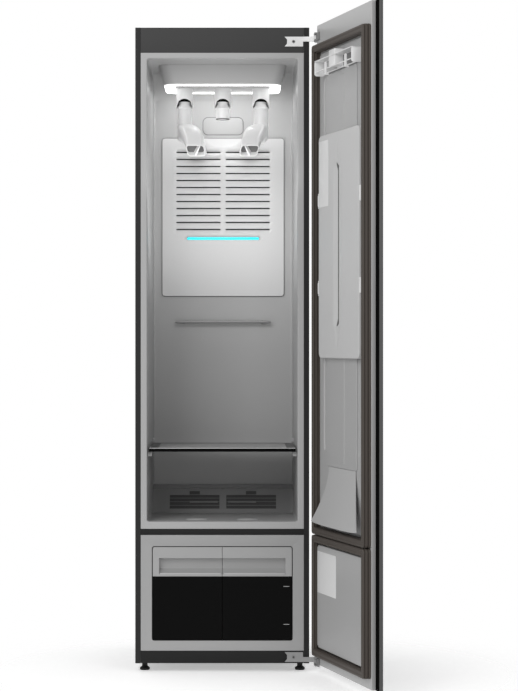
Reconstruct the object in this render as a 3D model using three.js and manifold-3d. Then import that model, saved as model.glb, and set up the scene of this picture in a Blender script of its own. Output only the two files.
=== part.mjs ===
// A clothes care steam cabinet: a tall steel cabinet with a hanging chamber, a machine room with two
// water tanks below it, and a thick hinged door that carries a trouser press.
// Millimetres. Cabinet frame while building: x = 0 is the middle, y = 0 the front plane, +y runs to the
// rear, z = 0 is the floor. The door is authored closed and then swung open about its hinge axis.
import * as THREE from "three";
import { mergeVertices } from "three/addons/utils/BufferGeometryUtils.js";
import Module from "manifold-3d";

const wasm = await Module();
wasm.setup();

// Driving dimensions

const cabinet = {
  width: 500,
  height: 1850,
  depth: 560,
  sheet: 1.2, // outer steel
  frontReturn: 15.5, // bent front edge of a side panel
  rearReturn: 14,
  footClearance: 24, // floor to base tray
  fasciaHeight: 72,
  dividerHeight: 17,
  lowerPanelHeight: 333,
  plinthHeight: 36,
  railReturn: 18, // depth of the bent edges of the fascia and rails
  topReturn: 14, // height of the top panel's bent edges
};

const fit = {
  seat: 0.3, // gap between pieces that touch
  running: 0.5, // gap round pieces that slide or turn
  overrun: 5, // how far a cut runs past a face
};

const chamber = {
  rimSide: 18,
  rimTop: 16.4,
  rimBottom: 21,
  rimThickness: 3,
  wall: 2.5,
  rearRoom: 130, // from the back wall to the rear of the cabinet, for the duct and the blower
  draft: 3, // each side wall leans in by this much at the back
  cornerRadius: 7,
  slopeRun: 85, // the ceiling is level at the front and falls over this length to the back wall
  slopeDrop: 71.6,
  slopeShares: [0, 0.12, 0.42, 1], // of the drop, at equal steps of the run
};

const airPanel = {
  sideGap: 27.5, // from the chamber's side walls
  drop: 190.6, // its top, below the ceiling
  height: 483,
  thickness: 6,
  radius: 14,
  slotRows: 12,
  slotPitch: 21.5,
  slotDrop: 43, // first slot, below the panel's top
  slotHeight: 3.6,
  slotInner: 8,
  slotSideGap: 43,
  dishHalfWidth: 52,
  dishHeight: 27,
  dishDepth: 3.6,
};
const airWindow = { sideGap: 38, drop: 31, height: 262, radius: 12 }; // from the air panel's edges
const backEmboss = { halfWidth: 61, lift: 12, height: 52, radius: 15, rise: 1.4 }; // above the air panel
const lightBar = { sideGap: 76, height: 7, drop: 307, proud: 0.6, back: 1.5 }; // from the air panel's edges
const rearRail = { sideGap: 40, drop: 80, radius: 4, standoff: 16, postInset: 26, postRadius: 3 };
const floorBump = { width: 66, depth: 40, rise: 5, offset: 74, front: 58 };
const peg = { width: 10, height: 14, depth: 12, front: 46, rearGap: 112, radius: 3 };
const pegStop = { width: 7, height: 13, depth: 8, rearGap: 100, gap: 2 };

const housing = {
  topInset: 28, // from the chamber's side walls
  bottomInset: 44.5,
  topDepth: 250,
  bottomDepth: 216,
  topRearGap: 46, // from the back wall
  bottomRearGap: 64,
  height: 52.1,
  cornerRadius: 34,
};
const lightRing = { band: 31, height: 6, cornerRadius: 34, innerRadius: 12 };
const socket = {
  ringGap: 1.4, // between an outer socket and the light ring
  rearGap: 106, // its axis, from the housing's rear edge
  radius: 25.6,
  bore: 22.6,
  length: 62,
  crown: 10, // solid part above the bore
  archRadius: 19.5,
  archRise: 5, // straight sides below the arch
  collarRadius: 28,
  collarHeight: 3.4,
};
const neck = {
  radius: 22,
  ringHeight: 8,
  waist: 16.5,
  waistHeight: 9,
  taper: 3, // straight part of the waist
  shoulder: 14.4, // seal ring to the shoulder's lower edge
  engage: 34,
};
const nozzle = { radius: 19.5, mouthRadius: 20.5, length: 44, bore: 16.5, boreTop: 13.2, boreDepth: 30 };
const hanger = {
  arm: 150,
  tubeRadius: 20,
  bow: 36, // both arms curve towards the middle of the cabinet by this much at their mouths
  crestDrop: 47.2, // crest of the arms, below the sockets
  frontDrop: 78, // crest to the top of the front mouth
  rearDrop: 50, // crest to the top of the rear mouth
  rootHeight: 60,
  mouthHeight: 33,
  mouthWidth: 53,
  mouthCorner: 11,
  mouthDepth: 24,
  mouthWall: 2.6,
  dividerWidth: 5,
  dividerTopShare: 0.3,
  mouthTaperShare: 0.86,
  fallPower: 1.6, // how the arm's crest curves down
  ringShares: [0.08, 0.25, 0.5, 0.76, 1], // places of the arm's sections, from the neck outwards
  bowShares: [0.06, 0.39, 0.64, 0.86, 1], // of the bow, at those sections
  widthShares: [0.87, 1.13, 1.17, 1.06, 1], // of the mouth's width, at those sections
};

const shelf = {
  rise: 210, // its top, above the chamber floor
  thickness: 10.4,
  front: 22,
  rearGap: 63,
  sideGap: 1.6,
  sideBand: 24.5,
  endBand: 11,
  cornerRadius: 6,
  ledge: 5,
  panelThickness: 4,
  rimRise: 1.4,
};

const floorUnit = {
  rearRise: 80, // of its top at the back wall, above the chamber floor
  crestRise: 70,
  crestGap: 80, // its crest and its toe, from the back wall
  toeGap: 112,
  wall: 2.5,
  windowSideGap: 47.5,
  windowLow: 14, // along the sloping front
  windowHigh: 58,
  postWidth: 10,
  slotDepth: 8,
};
const filter = {
  thickness: 6,
  frame: 5,
  bars: 5,
  bar: 1.6,
  tabWidth: 26,
  tabRise: 5,
  gripWidth: 30,
  gripHeight: 5,
  gripProud: 2.2,
};

const bay = { sideGap: 33.8, lowRise: 31, topDrop: 34.5, depth: 253, wall: 2.5, radius: 6, plate: 2.5, valve: 7 };
const tank = {
  rearGap: 3,
  wall: 2.5,
  gripHeight: 84.5, // height of the grey grip at the front
  gripDepth: 36,
  lidDrop: 18, // the lid lies this far below the top of the grip
  lidThickness: 6,
  plug: 6,
  pullLow: 5.4,
  pullHigh: 52.4,
  pullEnd: 18.5,
  pullDepth: 21,
  pullBend: 10.5, // depth of the knee in the pull's floor
  pullBendRise: 4.8,
  pullRise: 16,
  capRadius: 24,
  capHeight: 7,
  capY: 140,
};

const foot = {
  sideGap: 26,
  front: 42,
  rearInset: 45,
  radius: 14.6,
  soleInset: 1.5,
  soleRise: 2.25,
  rim: 6.3,
  disc: 9,
  crownRadius: 11.7,
  cone: 3,
  neckRadius: 8,
  stemRadius: 5,
  stem: 18,
};
const tray = { floor: 2.5, wall: 2, wallHeight: 26, pad: 3 };

const hinge = {
  axisOut: 20, // the axis stands outside the side panel
  y: -28,
  openAngle: 105,
  plateInner: 71, // the plate's ends and its screw, from the side panel's face
  plateOuter: 18,
  screwInset: 45.4,
  plateHeight: 28,
  plateThickness: 3,
  earDepth: 7,
  earNotch: 12,
  screwRadius: 2.6,
  topInset: 40.5, // a plate's middle, below the cabinet's top
  lowRise: 18.5, // and above the base tray
  armLift: 7, // the arm lies this far outwards of the plate's middle
  armHeight: 14,
  armThickness: 5,
  armLead: 1.25, // the arm's fall towards its bend
  armBack: 3,
  bendOut: 6.4, // the bend's corners, from the axis
  bendIn: 4.8,
  bendThroat: 1.6,
  bendRoot: 16,
  knuckleRadius: 8,
  earThickness: 4,
  earRoot: 9,
  pinRadius: 3.9,
  pinHead: 6,
  pinHeadHeight: 2,
  bore: 4.3,
  flangeWidth: 27,
  flangeThickness: 3.3,
  reach: 10, // how far the ears stand off the door's inner face
};

const door = {
  hingeInset: 1, // its edges, from the side panels' faces
  freeInset: 11,
  gripReach: 19, // the front slab runs past the side panel here
  lowRise: 4,
  topDrop: 1,
  plate: 11,
  slab: 12,
  slabRadius: 5,
  slabWall: 1.6, // the slab is a folded tray, closed round its edge and open behind the inner plate
  inset: 0.8, // the inner plate is this much shorter than the slab at each end
  pad: 4,
  padBevel: 1.5,
  padMargin: 24, // gasket's inner edge to the raised panel, measured from the gasket's outer edge
  padRadius: 14,
  groove: 39,
  grooveDepth: 2.6,
  grooveLowGap: 40, // the grooves' ends, from the press board's ends
  grooveTopGap: 4,
};
const gasket = {
  hingeMargin: 14.5,
  freeMargin: 4.5,
  width: 22,
  height: 22,
  base: 8,
  neckHeight: 2.5,
  neckInset: 2.5,
  tipInset: 1,
  tipChamfer: 2.5,
  radius: 10,
  topRise: 10, // above the chamber's rim
  splitRise: 9, // above the divider's lower edge
  splitGap: 1,
  lowDrop: 3, // below the lower panel
};
const pressBoard = {
  near: 118,
  farGap: 104,
  lowRise: 190, // above the chamber's rim
  topDrop: 155, // below the door's top
  thickness: 3,
  bandInset: 108,
  bandWidth: 50,
  band: 1,
};
const pressPlate = {
  near: 81,
  farGap: 45,
  lowRise: 302, // above the board's lower edge
  topDrop: 325,
  rear: 8.4,
  thickness: 12,
  radius: 18,
  bevel: 2.5,
  channelNearGap: 131, // the channel's edges, from the plate's edges
  channelFarGap: 143,
  channelLowGap: 83,
  channelTopGap: 82,
  channelDepth: 8,
  channelSlope: 14,
  channelEnd: 34,
};
const pressHinge = {
  axisGap: 5.5, // from the plate's near edge
  axisHeight: 14.4,
  heightShares: [0.709, 0.315], // of the plate's height
  length: 42,
  ear: 4,
  barrel: 5.4,
  web: 3.2, // half the thickness of the web between barrel and plate
  backReach: 3.8,
  pin: 2.4,
  bore: 2.9,
  base: 1.6,
  baseWidth: 20,
};
const pressCatch = { width: 8, thickness: 10, overlap: 2 };
const clipBar = {
  near: 98,
  farGap: 55,
  lift: 3, // above the press board
  height: 36,
  rear: 8,
  front: 38,
  wall: 3,
  endDrop: 6,
  blockInset: 124,
  blockWidth: 55,
  blockLift: 6,
  blockHeight: 45,
  blockFront: 35,
  rod: 1.7,
  rodLift: 5,
  rodHeight: 33.5,
};
const clipLever = { nearInset: 92, farInset: 64, width: 6, drop: 12, height: 36, thickness: 6.4, bore: 2.2, foot: 6 };
const guide = {
  lowRise: 28, // above the chamber's rim
  topNear: 136,
  topFarGap: 116,
  lowNear: 48,
  lowFarGap: 33,
  rootRise: 0.4, // above the board's rear face
  lowHeight: 31,
  sheet: 2.2,
  crown: 3,
  flarePower: 1.7, // how its sides spread and its sheet lifts towards the lower edge
  liftPower: 1.6,
};

const rearPanel = { ribs: 3, ribWidth: 26, ribRise: 1.6, ribLowRise: 110, ribTopDrop: 110, ribRadius: 10 };
const louvre = { rows: 8, width: 150, height: 6, pitch: 18, lowRise: 30, sideGap: 130 };
const duct = { sideGap: 41, rearGap: 40, lowDrop: 93, crest: 36.6, frontRun: 254, windowGap: 98, wall: 2.2 };
const foam = { lift: 2, ductGap: 4, topGap: 3, front: 22, rearGap: 4 };

const blower = {
  sideGap: 230, // its axis, from the right side panel's face
  rise: 141.2,
  frontGap: 118, // its faces, from the rear of the cabinet
  rearGap: 43,
  wall: 2.5,
  startRadius: 86,
  spread: 34,
  startTurn: 0.125, // where the spiral starts and how far it goes, in turns
  turns: 0.875,
  neckInner: 62,
  eye: 46,
  motorRadius: 30,
  motorLength: 29,
  legWidth: 16,
  legOffset: 34,
};
const wheel = {
  radius: 74,
  rimWidth: 9,
  rimThickness: 3,
  blades: 12,
  bladeInner: 54,
  bladeThickness: 1.8,
  bladePitch: 36, // degrees
  frontGap: 7,
  rearGap: 9,
  hub: 14,
  hubLength: 20,
  shaft: 4,
  shaftReach: 13, // past the housing's rear wall
};
const compressor = {
  sideGap: 100,
  bayGap: 97, // its axis, behind the tank bay
  radius: 58,
  height: 196,
  baseRadius: 43.5,
  belt: 3,
  beltHeight: 6,
  dome: 26,
  shoulderRadius: 50,
  crownRadius: 23,
  leg: 20,
  legReach: 78,
};
const exchanger = { leftGap: 174, rightGap: 108, bayGap: 33, rearGap: 24, height: 128, base: 6, fins: 12, fin: 5.4 };
const steamer = {
  leftGap: 88,
  rightGap: 12,
  bayGap: 37,
  rearGap: 22,
  height: 84,
  lid: 7,
  lidInset: 4,
  stub: 9,
  stubRise: 18,
};
const pump = { sideGap: 78, rise: 39.2, radius: 25, frontGap: 2, rearGap: 30, capRadius: 18, cap: 10, footWidth: 44 };
const controls = {
  leftGap: 174,
  rightGap: 34,
  bayGap: 23,
  rearGap: 22,
  height: 92,
  lid: 6,
  rib: 4,
};

// Pieces per turn of a round form, half the pieces of a quarter turn at a rounded corner, steps of a bevel,
// and steps along the swept pieces
const fine = { corner: 2, blunt: 1, round: 20, middle: 16, small: 10, bevel: 2, rows: 8, columns: 6, scroll: 20 };

// Values that follow from the driving dimensions

const halfWidth = cabinet.width / 2;
const innerSkin = halfWidth - cabinet.sheet;
const frontHalf = halfWidth - cabinet.frontReturn - fit.seat;
const rearPanelFront = cabinet.depth - cabinet.sheet;
const sideRear = rearPanelFront - fit.seat;
const plinthTop = cabinet.footClearance + cabinet.plinthHeight;
const dividerLow = plinthTop + cabinet.lowerPanelHeight;
const rimLow = dividerLow + cabinet.dividerHeight;
const rimHigh = cabinet.height - cabinet.fasciaHeight;
const floorZ = rimLow + chamber.rimBottom;
const ceilingZ = rimHigh - chamber.rimTop;
const chamberHalf = halfWidth - cabinet.frontReturn - chamber.rimSide;
const backHalf = chamberHalf - chamber.draft;
const trayTop = cabinet.footClearance + tray.floor;
const machineFloor = trayTop + fit.seat;
const doorFace = -gasket.height - fit.seat - fit.seat;
const slabRear = doorFace - door.plate - fit.seat;

chamber.depth = cabinet.depth - chamber.rearRoom;

airPanel.halfWidth = backHalf - airPanel.sideGap;
airPanel.high = ceilingZ - airPanel.drop;
airPanel.low = airPanel.high - airPanel.height;
airPanel.face = chamber.depth - fit.seat - airPanel.thickness;
airWindow.halfWidth = airPanel.halfWidth - airWindow.sideGap;
airWindow.high = airPanel.high - airWindow.drop;
airWindow.low = airWindow.high - airWindow.height;
backEmboss.low = airPanel.high + backEmboss.lift;
lightBar.halfWidth = airPanel.halfWidth - lightBar.sideGap;
lightBar.z = airPanel.high - lightBar.drop;
rearRail.halfWidth = airPanel.halfWidth - rearRail.sideGap;
rearRail.z = airPanel.low - rearRail.drop;

housing.topHalf = chamberHalf - housing.topInset;
housing.topRear = chamber.depth - housing.topRearGap;
housing.bottomHalf = chamberHalf - housing.bottomInset;
housing.bottomRear = chamber.depth - housing.bottomRearGap;
housing.bottomFront = housing.bottomRear - housing.bottomDepth;
housing.bottomZ = ceilingZ - housing.height;
socket.pitch = housing.bottomHalf - lightRing.band - socket.radius - socket.ringGap;
socket.y = housing.bottomRear - socket.rearGap;
socket.top = housing.bottomZ - fit.seat;
socket.low = socket.top - socket.length;
hanger.topZ = socket.low - hanger.crestDrop;

shelf.top = floorZ + shelf.rise;
shelf.rear = chamber.depth - shelf.rearGap;
shelf.halfWidth = backHalf - shelf.sideGap;
floorUnit.rearZ = floorZ + floorUnit.rearRise;
floorUnit.crestZ = floorZ + floorUnit.crestRise;
floorUnit.crestY = chamber.depth - floorUnit.crestGap;
floorUnit.toeY = chamber.depth - floorUnit.toeGap;
floorUnit.windowHalfWidth = backHalf - floorUnit.windowSideGap;
const slopeAngle = Math.atan2(floorUnit.crestY - floorUnit.toeY, floorUnit.crestZ - floorZ);
const slopeLength = Math.hypot(floorUnit.crestY - floorUnit.toeY, floorUnit.crestZ - floorZ);

bay.halfWidth = frontHalf - bay.sideGap;
bay.low = plinthTop + bay.lowRise;
bay.high = dividerLow - bay.topDrop;
tank.depth = bay.depth - tank.rearGap;

hinge.x = halfWidth + hinge.axisOut;
hinge.plateLeft = halfWidth - hinge.plateInner;
hinge.plateRight = halfWidth - hinge.plateOuter;
hinge.screwX = halfWidth - hinge.screwInset;
hinge.topZ = cabinet.height - hinge.topInset;
hinge.lowZ = cabinet.footClearance + hinge.lowRise;

door.hingeEdge = halfWidth - door.hingeInset;
door.freeEdge = door.freeInset - halfWidth;
door.gripEdge = -halfWidth - door.gripReach;
door.low = cabinet.footClearance + door.lowRise;
door.high = cabinet.height - door.topDrop;
door.width = door.hingeEdge - door.freeEdge;
gasket.near = gasket.hingeMargin;
gasket.far = door.width - gasket.freeMargin;
gasket.split = dividerLow + gasket.splitRise;
const gasketFrames = {
  upper: [gasket.split + gasket.splitGap / 2, rimHigh + gasket.topRise],
  lower: [plinthTop - gasket.lowDrop, gasket.split - gasket.splitGap / 2],
};
pressBoard.rear = door.pad + fit.seat;
pressBoard.far = door.width - pressBoard.farGap;
pressBoard.low = rimLow + pressBoard.lowRise;
pressBoard.high = door.high - pressBoard.topDrop;
pressPlate.far = door.width - pressPlate.farGap;
pressPlate.low = pressBoard.low + pressPlate.lowRise;
pressPlate.high = door.high - pressPlate.topDrop;
pressHinge.axisNear = pressPlate.near - pressHinge.axisGap;
pressHinge.middles = pressHinge.heightShares.map((share) =>
  pressPlate.low + share * (pressPlate.high - pressPlate.low));
clipBar.far = door.width - clipBar.farGap;
clipBar.low = pressBoard.high + clipBar.lift;
clipBar.high = clipBar.low + clipBar.height;
clipBar.blockNear = clipBar.near + clipBar.blockInset;
clipBar.blockLow = clipBar.low + clipBar.blockLift;
clipBar.rodZ = clipBar.low + clipBar.rodLift;
clipLever.places = [clipBar.near + clipLever.nearInset, clipBar.far - clipLever.farInset];
clipLever.low = clipBar.low - clipLever.drop;

louvre.x = halfWidth - louvre.sideGap;
duct.halfWidth = airPanel.halfWidth - duct.sideGap;
duct.rear = cabinet.depth - duct.rearGap;
duct.low = dividerLow - duct.lowDrop;
duct.shoulder = ceilingZ + chamber.wall + fit.seat;
duct.high = duct.shoulder + duct.crest;
duct.front = chamber.depth - duct.frontRun;
duct.windowRear = chamber.depth - duct.windowGap;
foam.low = rimLow + foam.lift;
foam.top = duct.high + foam.ductGap;
foam.high = cabinet.height - cabinet.topReturn - foam.topGap;
foam.rear = cabinet.depth - foam.rearGap;
blower.x = halfWidth - blower.sideGap;
blower.z = machineFloor + blower.rise;
blower.front = cabinet.depth - blower.frontGap;
blower.rear = cabinet.depth - blower.rearGap;
wheel.front = blower.front + wheel.frontGap;
wheel.rear = blower.rear - wheel.rearGap;
wheel.shaftEnd = blower.rear + wheel.shaftReach;
compressor.x = compressor.sideGap - halfWidth;
compressor.y = bay.depth + compressor.bayGap;
exchanger.left = exchanger.leftGap - halfWidth;
exchanger.right = halfWidth - exchanger.rightGap;
exchanger.front = bay.depth + exchanger.bayGap;
exchanger.rear = blower.front - exchanger.rearGap;
steamer.left = halfWidth - steamer.leftGap;
steamer.right = halfWidth - steamer.rightGap;
steamer.front = bay.depth + steamer.bayGap;
steamer.rear = blower.front - steamer.rearGap;
pump.x = halfWidth - pump.sideGap;
pump.z = machineFloor + pump.rise;
pump.front = blower.front + pump.frontGap;
pump.rear = cabinet.depth - pump.rearGap;
controls.left = halfWidth - controls.leftGap;
controls.right = halfWidth - controls.rightGap;
controls.front = bay.depth + controls.bayGap;
controls.rear = blower.front - controls.rearGap;
controls.high = floorZ - chamber.wall - fit.seat;

// Finishes

const finish = {
  graphite: new THREE.MeshStandardMaterial({ color: 0x3c3d40, roughness: 0.45, metalness: 0.6 }),
  darkRail: new THREE.MeshStandardMaterial({ color: 0x2b2c2e, roughness: 0.5, metalness: 0.3 }),
  zinc: new THREE.MeshStandardMaterial({ color: 0x8d9093, roughness: 0.5, metalness: 0.8 }),
  liner: new THREE.MeshStandardMaterial({ color: 0xb9babc, roughness: 0.4, metalness: 0.1 }),
  foam: new THREE.MeshStandardMaterial({ color: 0xe8e4d4, roughness: 0.95, metalness: 0 }),
  white: new THREE.MeshStandardMaterial({ color: 0xf1f2f3, roughness: 0.35, metalness: 0 }),
  panelGrey: new THREE.MeshStandardMaterial({ color: 0x9b9c9f, roughness: 0.45, metalness: 0.1 }),
  glow: new THREE.MeshStandardMaterial({ color: 0xffffff, roughness: 0.3, metalness: 0, emissive: 0xffffff }),
  cyan: new THREE.MeshStandardMaterial({ color: 0x35e0ee, roughness: 0.3, metalness: 0, emissive: 0x18c8d8 }),
  smoke: new THREE.MeshStandardMaterial({ color: 0x38393b, roughness: 0.2, metalness: 0 }),
  tankBlack: new THREE.MeshStandardMaterial({ color: 0x0c0c0d, roughness: 0.08, metalness: 0 }),
  rubber: new THREE.MeshStandardMaterial({ color: 0x4d4640, roughness: 0.8, metalness: 0 }),
  blackPlastic: new THREE.MeshStandardMaterial({ color: 0x161617, roughness: 0.6, metalness: 0 }),
  steel: new THREE.MeshStandardMaterial({ color: 0xb4b6b8, roughness: 0.3, metalness: 0.9 }),
  finMetal: new THREE.MeshStandardMaterial({ color: 0xa8abad, roughness: 0.4, metalness: 0.8 }),
};

// Solids: a three.js geometry becomes a solid for cutting and joining, and comes back as a geometry

function signedVolume(position, index) {
  const corner = [0, 1, 2].map(() => new THREE.Vector3());
  let sum = 0;
  for (let i = 0; i < index.length; i += 3) {
    corner.forEach((v, k) => v.fromArray(position, 3 * index[i + k]));
    sum += corner[0].dot(corner[1].clone().cross(corner[2]));
  }
  return sum / 6;
}

function solid(geometry) {
  const bare = geometry.clone();
  bare.deleteAttribute("normal");
  bare.deleteAttribute("uv");
  const merged = mergeVertices(bare);
  const position = Float32Array.from(merged.attributes.position.array);
  const kept = [];
  const index = merged.index.array;
  for (let i = 0; i < index.length; i += 3) {
    const [a, b, c] = [index[i], index[i + 1], index[i + 2]];
    if (a !== b && b !== c && c !== a) kept.push(a, b, c);
  }
  if (signedVolume(position, kept) < 0) {
    for (let i = 0; i < kept.length; i += 3) [kept[i], kept[i + 1]] = [kept[i + 1], kept[i]];
  }
  const mesh = new wasm.Mesh({ numProp: 3, vertProperties: position, triVerts: Uint32Array.from(kept) });
  return new wasm.Manifold(mesh);
}

function geometryOf(body) {
  const mesh = body.getMesh();
  const geometry = new THREE.BufferGeometry();
  geometry.setAttribute("position", new THREE.Float32BufferAttribute(mesh.vertProperties, 3));
  geometry.setIndex(Array.from(mesh.triVerts));
  geometry.computeVertexNormals();
  return geometry;
}

const join = (first, ...others) => others.reduce((all, next) => all.add(next), first);
const cut = (first, ...others) => others.reduce((rest, next) => rest.subtract(next), first);

// Shapes and prisms. A prism's outline lies square to its axis:
// along Z the outline is (x, y), along Y it is (x, z), along X it is (y, z).

const axes = {
  z: new THREE.Matrix4(),
  y: new THREE.Matrix4().makeBasis(
    new THREE.Vector3(1, 0, 0), new THREE.Vector3(0, 0, 1), new THREE.Vector3(0, -1, 0)),
  x: new THREE.Matrix4().makeBasis(
    new THREE.Vector3(0, 1, 0), new THREE.Vector3(0, 0, 1), new THREE.Vector3(1, 0, 0)),
};

function prismGeometry(axis, shape, from, to, options = {}) {
  const settings = { depth: to - from, bevelEnabled: false, curveSegments: fine.corner, ...options };
  const geometry = new THREE.ExtrudeGeometry(shape, settings);
  geometry.translate(0, 0, axis === "y" ? -to : from);
  return geometry.applyMatrix4(axes[axis]);
}

const prism = (axis, shape, from, to, options) => solid(prismGeometry(axis, shape, from, to, options));

const outline = (points) => new THREE.Shape(points.map(([u, v]) => new THREE.Vector2(u, v)));

function rounded(u0, u1, v0, v1, radius) {
  const r = Math.min(radius, (u1 - u0) / 2, (v1 - v0) / 2);
  const shape = new THREE.Shape();
  const right = Math.PI / 2;
  shape.absarc(u1 - r, v0 + r, r, -right, 0);
  shape.absarc(u1 - r, v1 - r, r, 0, right);
  shape.absarc(u0 + r, v1 - r, r, right, 2 * right);
  shape.absarc(u0 + r, v0 + r, r, 2 * right, 3 * right);
  return shape;
}

// A slot whose two ends narrow to half its height.
const slotShape = (u0, u1, v, half) => outline([
  [u0 + half, v - half], [u1 - half, v - half], [u1, v], [u1 - half, v + half], [u0 + half, v + half], [u0, v]]);

// A rectangle with its two upper corners rounded.
function roundTopped(u0, u1, v0, v1, r) {
  const shape = new THREE.Shape();
  shape.moveTo(u0, v0);
  shape.lineTo(u1, v0);
  shape.absarc(u1 - r, v1 - r, r, 0, Math.PI / 2);
  shape.absarc(u0 + r, v1 - r, r, Math.PI / 2, Math.PI);
  shape.closePath();
  return shape;
}

function ringShape(outer, inner) {
  outer.holes.push(inner);
  return outer;
}

function disc(u, v, radius) {
  const shape = new THREE.Shape();
  shape.absarc(u, v, radius, 0, 2 * Math.PI);
  return shape;
}

const round = (axis, u, v, radius, from, to, pieces = fine.small) =>
  prism(axis, disc(u, v, radius), from, to, { curveSegments: pieces / 2 });

function block(x0, x1, y0, y1, z0, z1) {
  const geometry = new THREE.BoxGeometry(x1 - x0, y1 - y0, z1 - z0);
  geometry.translate((x0 + x1) / 2, (y0 + y1) / 2, (z0 + z1) / 2);
  return solid(geometry);
}

// A turned piece about the vertical through (x, y); the profile is a list of [radius, z].
function turned(profile, x, y, pieces = fine.round) {
  const points = profile.map(([r, z]) => new THREE.Vector2(r, z));
  const geometry = new THREE.LatheGeometry(points, pieces);
  geometry.rotateX(Math.PI / 2);
  geometry.translate(x, y, 0);
  return solid(geometry);
}

// A skin over rings of equal count, each a closed loop of points, with both ends closed.
function loft(rings) {
  const count = rings[0].length;
  const points = rings.flat();
  const index = [];
  for (let r = 0; r + 1 < rings.length; r += 1) {
    for (let i = 0; i < count; i += 1) {
      const j = (i + 1) % count;
      const [a, b, c, d] = [r * count + i, r * count + j, (r + 1) * count + j, (r + 1) * count + i];
      index.push(a, b, c, a, c, d);
    }
  }
  [rings[0], rings.at(-1)].forEach((ring, end) => {
    const middle = ring.reduce((sum, p) => sum.add(p), new THREE.Vector3()).divideScalar(count);
    const centre = points.push(middle) - 1;
    const start = end * (rings.length - 1) * count;
    for (let i = 0; i < count; i += 1) {
      const j = (i + 1) % count;
      if (end) index.push(centre, start + i, start + j);
      else index.push(centre, start + j, start + i);
    }
  });
  const geometry = new THREE.BufferGeometry();
  geometry.setAttribute("position", new THREE.Float32BufferAttribute(points.flatMap((p) => p.toArray()), 3));
  geometry.setIndex(index);
  return solid(geometry);
}

const ringAt = (shape, place) => shape.extractPoints(fine.corner).shape.map((p) => place(p.x, p.y));

// Two distances from the middle, in rising order, on one side: -1 for the left and 1 for the right.
const between = (side, a, b) => [side * a, side * b].sort((m, n) => m - n);

// The object's frame of groups

const object = new THREE.Group();

function group(parent, place = {}) {
  const made = new THREE.Group();
  made.position.set(place.x ?? 0, place.y ?? 0, place.z ?? 0);
  made.rotation.set(place.turnX ?? 0, 0, place.turnZ ?? 0);
  parent.add(made);
  return made;
}

function add(parent, name, body, material) {
  const mesh = new THREE.Mesh(geometryOf(body), material);
  mesh.name = name;
  parent.add(mesh);
  return mesh;
}

// Outer casing

function sidePanel(side) {
  const t = cabinet.sheet;
  const profile = [
    [halfWidth, 0],
    [halfWidth, sideRear],
    [halfWidth - cabinet.rearReturn, sideRear],
    [halfWidth - cabinet.rearReturn, sideRear - t],
    [halfWidth - t, sideRear - t],
    [halfWidth - t, t],
    [halfWidth - cabinet.frontReturn, t],
    [halfWidth - cabinet.frontReturn, 0],
  ];
  const points = profile.map(([x, y]) => [side * x, y]);
  return prism("z", outline(side > 0 ? points : points.reverse()), cabinet.footClearance, cabinet.height);
}

function topPanel() {
  const t = cabinet.sheet;
  const edge = innerSkin - fit.seat;
  const low = cabinet.height - cabinet.topReturn;
  const points = [
    [-edge, low],
    [-edge + t, low],
    [-edge + t, cabinet.height - t],
    [edge - t, cabinet.height - t],
    [edge - t, low],
    [edge, low],
    [edge, cabinet.height],
    [-edge, cabinet.height],
  ];
  return prism("y", outline(points), t + fit.seat, sideRear - t - fit.seat);
}

// A face with both long edges bent back: the fascia and the two rails.
function frontRail(low, high) {
  const t = cabinet.sheet;
  const r = cabinet.railReturn;
  const points = [[0, low], [r, low], [r, low + t], [t, low + t], [t, high - t], [r, high - t], [r, high], [0, high]];
  return prism("x", outline(points), -frontHalf, frontHalf);
}

function rearCover() {
  const sheet = block(-halfWidth + fit.seat, halfWidth - fit.seat, rearPanelFront, cabinet.depth,
    cabinet.footClearance, cabinet.height - cabinet.sheet);
  const pitch = cabinet.width / (rearPanel.ribs + 1);
  const swages = Array.from({ length: rearPanel.ribs }, (_, i) => {
    const x = -halfWidth + pitch * (i + 1);
    const shape = rounded(x - rearPanel.ribWidth / 2, x + rearPanel.ribWidth / 2, rimLow + rearPanel.ribLowRise,
      cabinet.height - rearPanel.ribTopDrop, rearPanel.ribRadius);
    return prism("y", shape, cabinet.depth - rearPanel.ribRise - cabinet.sheet, cabinet.depth - cabinet.sheet / 2,
      { curveSegments: fine.blunt });
  });
  const slots = [-1, 1].flatMap((side) => Array.from({ length: louvre.rows }, (_, i) => {
    const z = plinthTop + louvre.lowRise + i * louvre.pitch;
    const x = side * louvre.x;
    return block(x - louvre.width / 2, x + louvre.width / 2, rearPanelFront - fit.overrun,
      cabinet.depth + fit.overrun, z, z + louvre.height);
  }));
  return cut(join(sheet, ...swages), ...slots);
}

function footPlaces() {
  const x = halfWidth - foot.sideGap;
  const rear = cabinet.depth - foot.rearInset;
  return [
    ["front_left", -x, foot.front], ["front_right", x, foot.front],
    ["rear_left", -x, rear], ["rear_right", x, rear],
  ];
}

function baseTray() {
  const edge = innerSkin - fit.seat;
  const front = cabinet.railReturn + fit.running;
  const rear = sideRear - cabinet.sheet - fit.seat;
  const top = cabinet.footClearance + tray.wallHeight;
  const pan = cut(
    block(-edge, edge, front, rear, cabinet.footClearance, top),
    block(-edge + tray.wall, edge - tray.wall, front + tray.wall, rear - tray.wall, trayTop, top + fit.overrun),
  );
  const bosses = footPlaces().map(([, x, y]) =>
    round("z", x, y, foot.neckRadius + tray.pad, trayTop - tray.floor / 2, trayTop + tray.pad));
  const holes = footPlaces().map(([, x, y]) =>
    round("z", x, y, foot.stemRadius + fit.running, cabinet.footClearance - fit.overrun, top + fit.overrun));
  return cut(join(pan, ...bosses), ...holes);
}

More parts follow.
